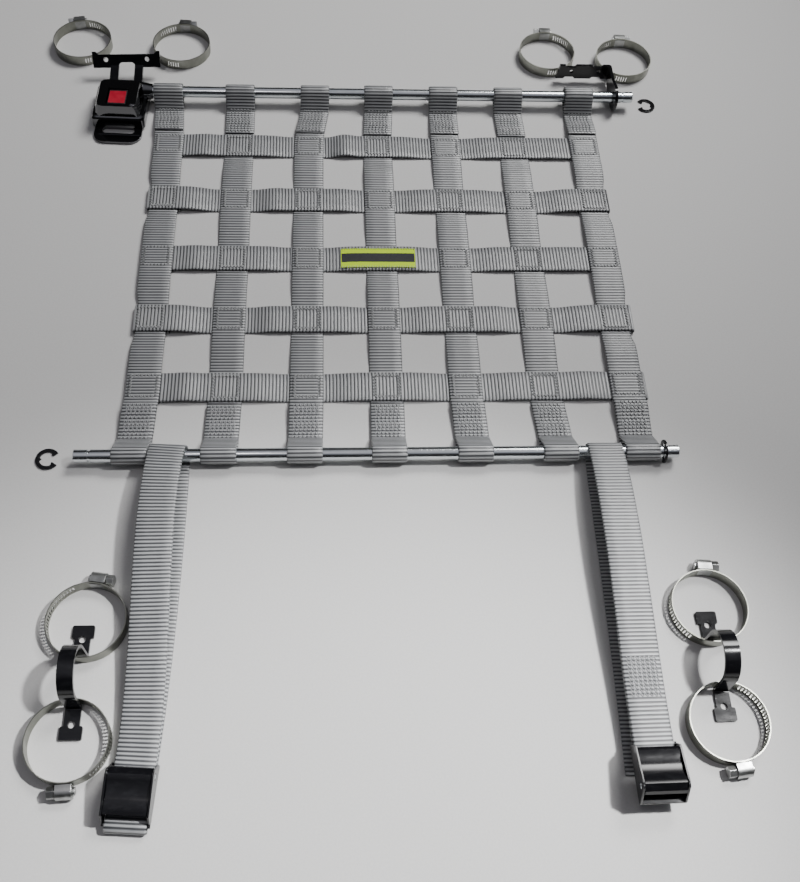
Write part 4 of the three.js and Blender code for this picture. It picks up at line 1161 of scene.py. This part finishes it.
BAND_TREE = band_tree()
SLOTTED, PLAIN = band_cell(True), band_cell(False)
SLOTS_UPPER = (4, 12)
SLOTS_AT_END = (32, 37)
SLOTS_LOWER = (7, 30)


def clamp_band(clamp):
    cells = BAND["cells"]
    spans = (SLOTS_UPPER, SLOTS_AT_END) if clamp["name"].startswith("upper") else (SLOTS_LOWER,)
    flags = []
    for k in range(cells):
        from_housing = cells - k if clamp["head"] < 0 else k
        flags.append(any(start <= from_housing < stop for start, stop in spans))
    piece = mesh_piece(f"band_{clamp['name']}", [(0, 0, 0)] * cells, [], CLAMP_STEEL)
    piece.data.attributes.new("slotted", "BOOLEAN", "POINT").data.foreach_set("value", flags)
    run_tree(piece, BAND_TREE, slotted_cell=SLOTTED, plain_cell=PLAIN, material=CLAMP_STEEL)
    piece.data.transform(Matrix.Translation(Vector((clamp["x"], clamp["y"], 0)) * MM)
                         @ Matrix.Rotation(math.radians(clamp["housing"]), 4, "Z"))
    face_outward(piece)
    shade(piece, 40)
    return enrolled(piece, node=f"clamp_band_{clamp['name']}")


SADDLE = {"inside": 24.75, "outside": 24.98, "half_angle": 10.5, "low": 1.1, "high": 8.4}


def saddle(clamp):
    """The tongue of the housing that lies against the inside of the band."""
    corners = (("inside", "low"), ("inside", "high"), ("outside", "high"), ("outside", "low"))
    points = []
    for t in steps(8):
        angle = math.radians(clamp["housing"] + mix(-1, 1, t) * SADDLE["half_angle"])
        for radius, z in corners:
            x = clamp["x"] + SADDLE[radius] * math.cos(angle)
            points.append((x, clamp["y"] + SADDLE[radius] * math.sin(angle), SADDLE[z]))
    faces = tube_faces(len(points) // len(corners), len(corners))
    piece = mesh_piece(f"saddle_{clamp['name']}", points, faces, PRESSED_STEEL)
    face_outward(piece)
    shade(piece)
    return enrolled(piece)


for clamp in CLAMPS:
    clamp_band(clamp)
    saddle(clamp)
    for part, radius in (("housing", 0.5), ("screw", 0.3)):
        piece_name = f"{part}_{clamp['name']}"
        softened(f"clamp_{piece_name}", piece_name, "net", PRESSED_STEEL, radius)
for cell in (SLOTTED, PLAIN):
    bpy.data.objects.remove(cell)
print("clamps built:", len(CLAMPS))

# %% [markdown]
# ## Table and light
# The net lies on a plain pale table in a dark room, and the chrome's colour is darkened as a
# painted dark reflection; together they make the chrome look black. One broad soft lamp high up
# behind and to the right lights its far end. A harder lamp on the right lights the near end of the
# table and throws the firm shadows of the right hoop and buckle. A weak small one near the viewer
# only puts glints on the chrome and the lacquer.

# %% Table and lights


def table_material():
    material, tree = new_material("pale table")
    grain = noise(tree, object_place(tree), 700, 3)
    colour = ramp(tree, grain, (0.3, (0.57, 0.568, 0.562)), (0.7, (0.61, 0.607, 0.6)))
    return painted(material, Base_Color=colour, Roughness=0.75, Normal=bump(tree, grain, 0.00005, 0.3),
                   Specular_IOR_Level=0.2)


SIZE = 1500
table = mesh_piece("table", [(-SIZE, -SIZE, 0), (SIZE, -SIZE, 0), (SIZE, SIZE, 0), (-SIZE, SIZE, 0)],
                   [(0, 1, 2, 3)], table_material())


def lamp(name, kind, place, aim, watts, colour=(1, 1, 1)):
    data = bpy.data.lights.new(name, kind)
    data.energy = watts
    data.color = colour
    made = new_object(name, data)
    made.location = place
    made.rotation_euler = (Vector(aim) - Vector(place)).to_track_quat("-Z", "Y").to_euler()
    return data


broad = lamp("far lamp", "SPOT", (0.85, 0.95, 1.6), (-0.1, 0.2, 0), 186, (1, 0.995, 0.985))
near = lamp("near lamp", "SPOT", (0.76, -0.2, 1.2), (-0.02, -0.47, 0), 165)
for data, cone, softness in ((broad, 54, 0.42), (near, 30, 0.05)):
    data.spot_size = math.radians(cone)
    data.spot_blend = 1.0
    data.shadow_soft_size = softness
glint = lamp("window glint", "POINT", (-0.25, -0.35, 1.25), (-0.2, 0.1, 0), 3, (1, 0.94, 0.95))
glint.shadow_soft_size = 0.035

world = bpy.data.worlds.new("room")
bpy.context.scene.world = world
world.use_nodes = True
sky = world.node_tree
background = sky.nodes["Background"]
direction = add_node(sky, "ShaderNodeTexCoord").outputs["Generated"]
height = add_node(sky, "ShaderNodeSeparateXYZ", {0: direction}).outputs[2]
floor_to_ceiling = ((0.0, (0.02, 0.02, 0.022)), (0.72, (0.028, 0.028, 0.03)), (0.95, (0.4, 0.4, 0.44)))
sky_colour = ramp(sky, height, *floor_to_ceiling)
sky.links.new(sky_colour, background.inputs["Color"])
background.inputs["Strength"].default_value = 1.0
print("table, two lamps, a glint and a dark room")
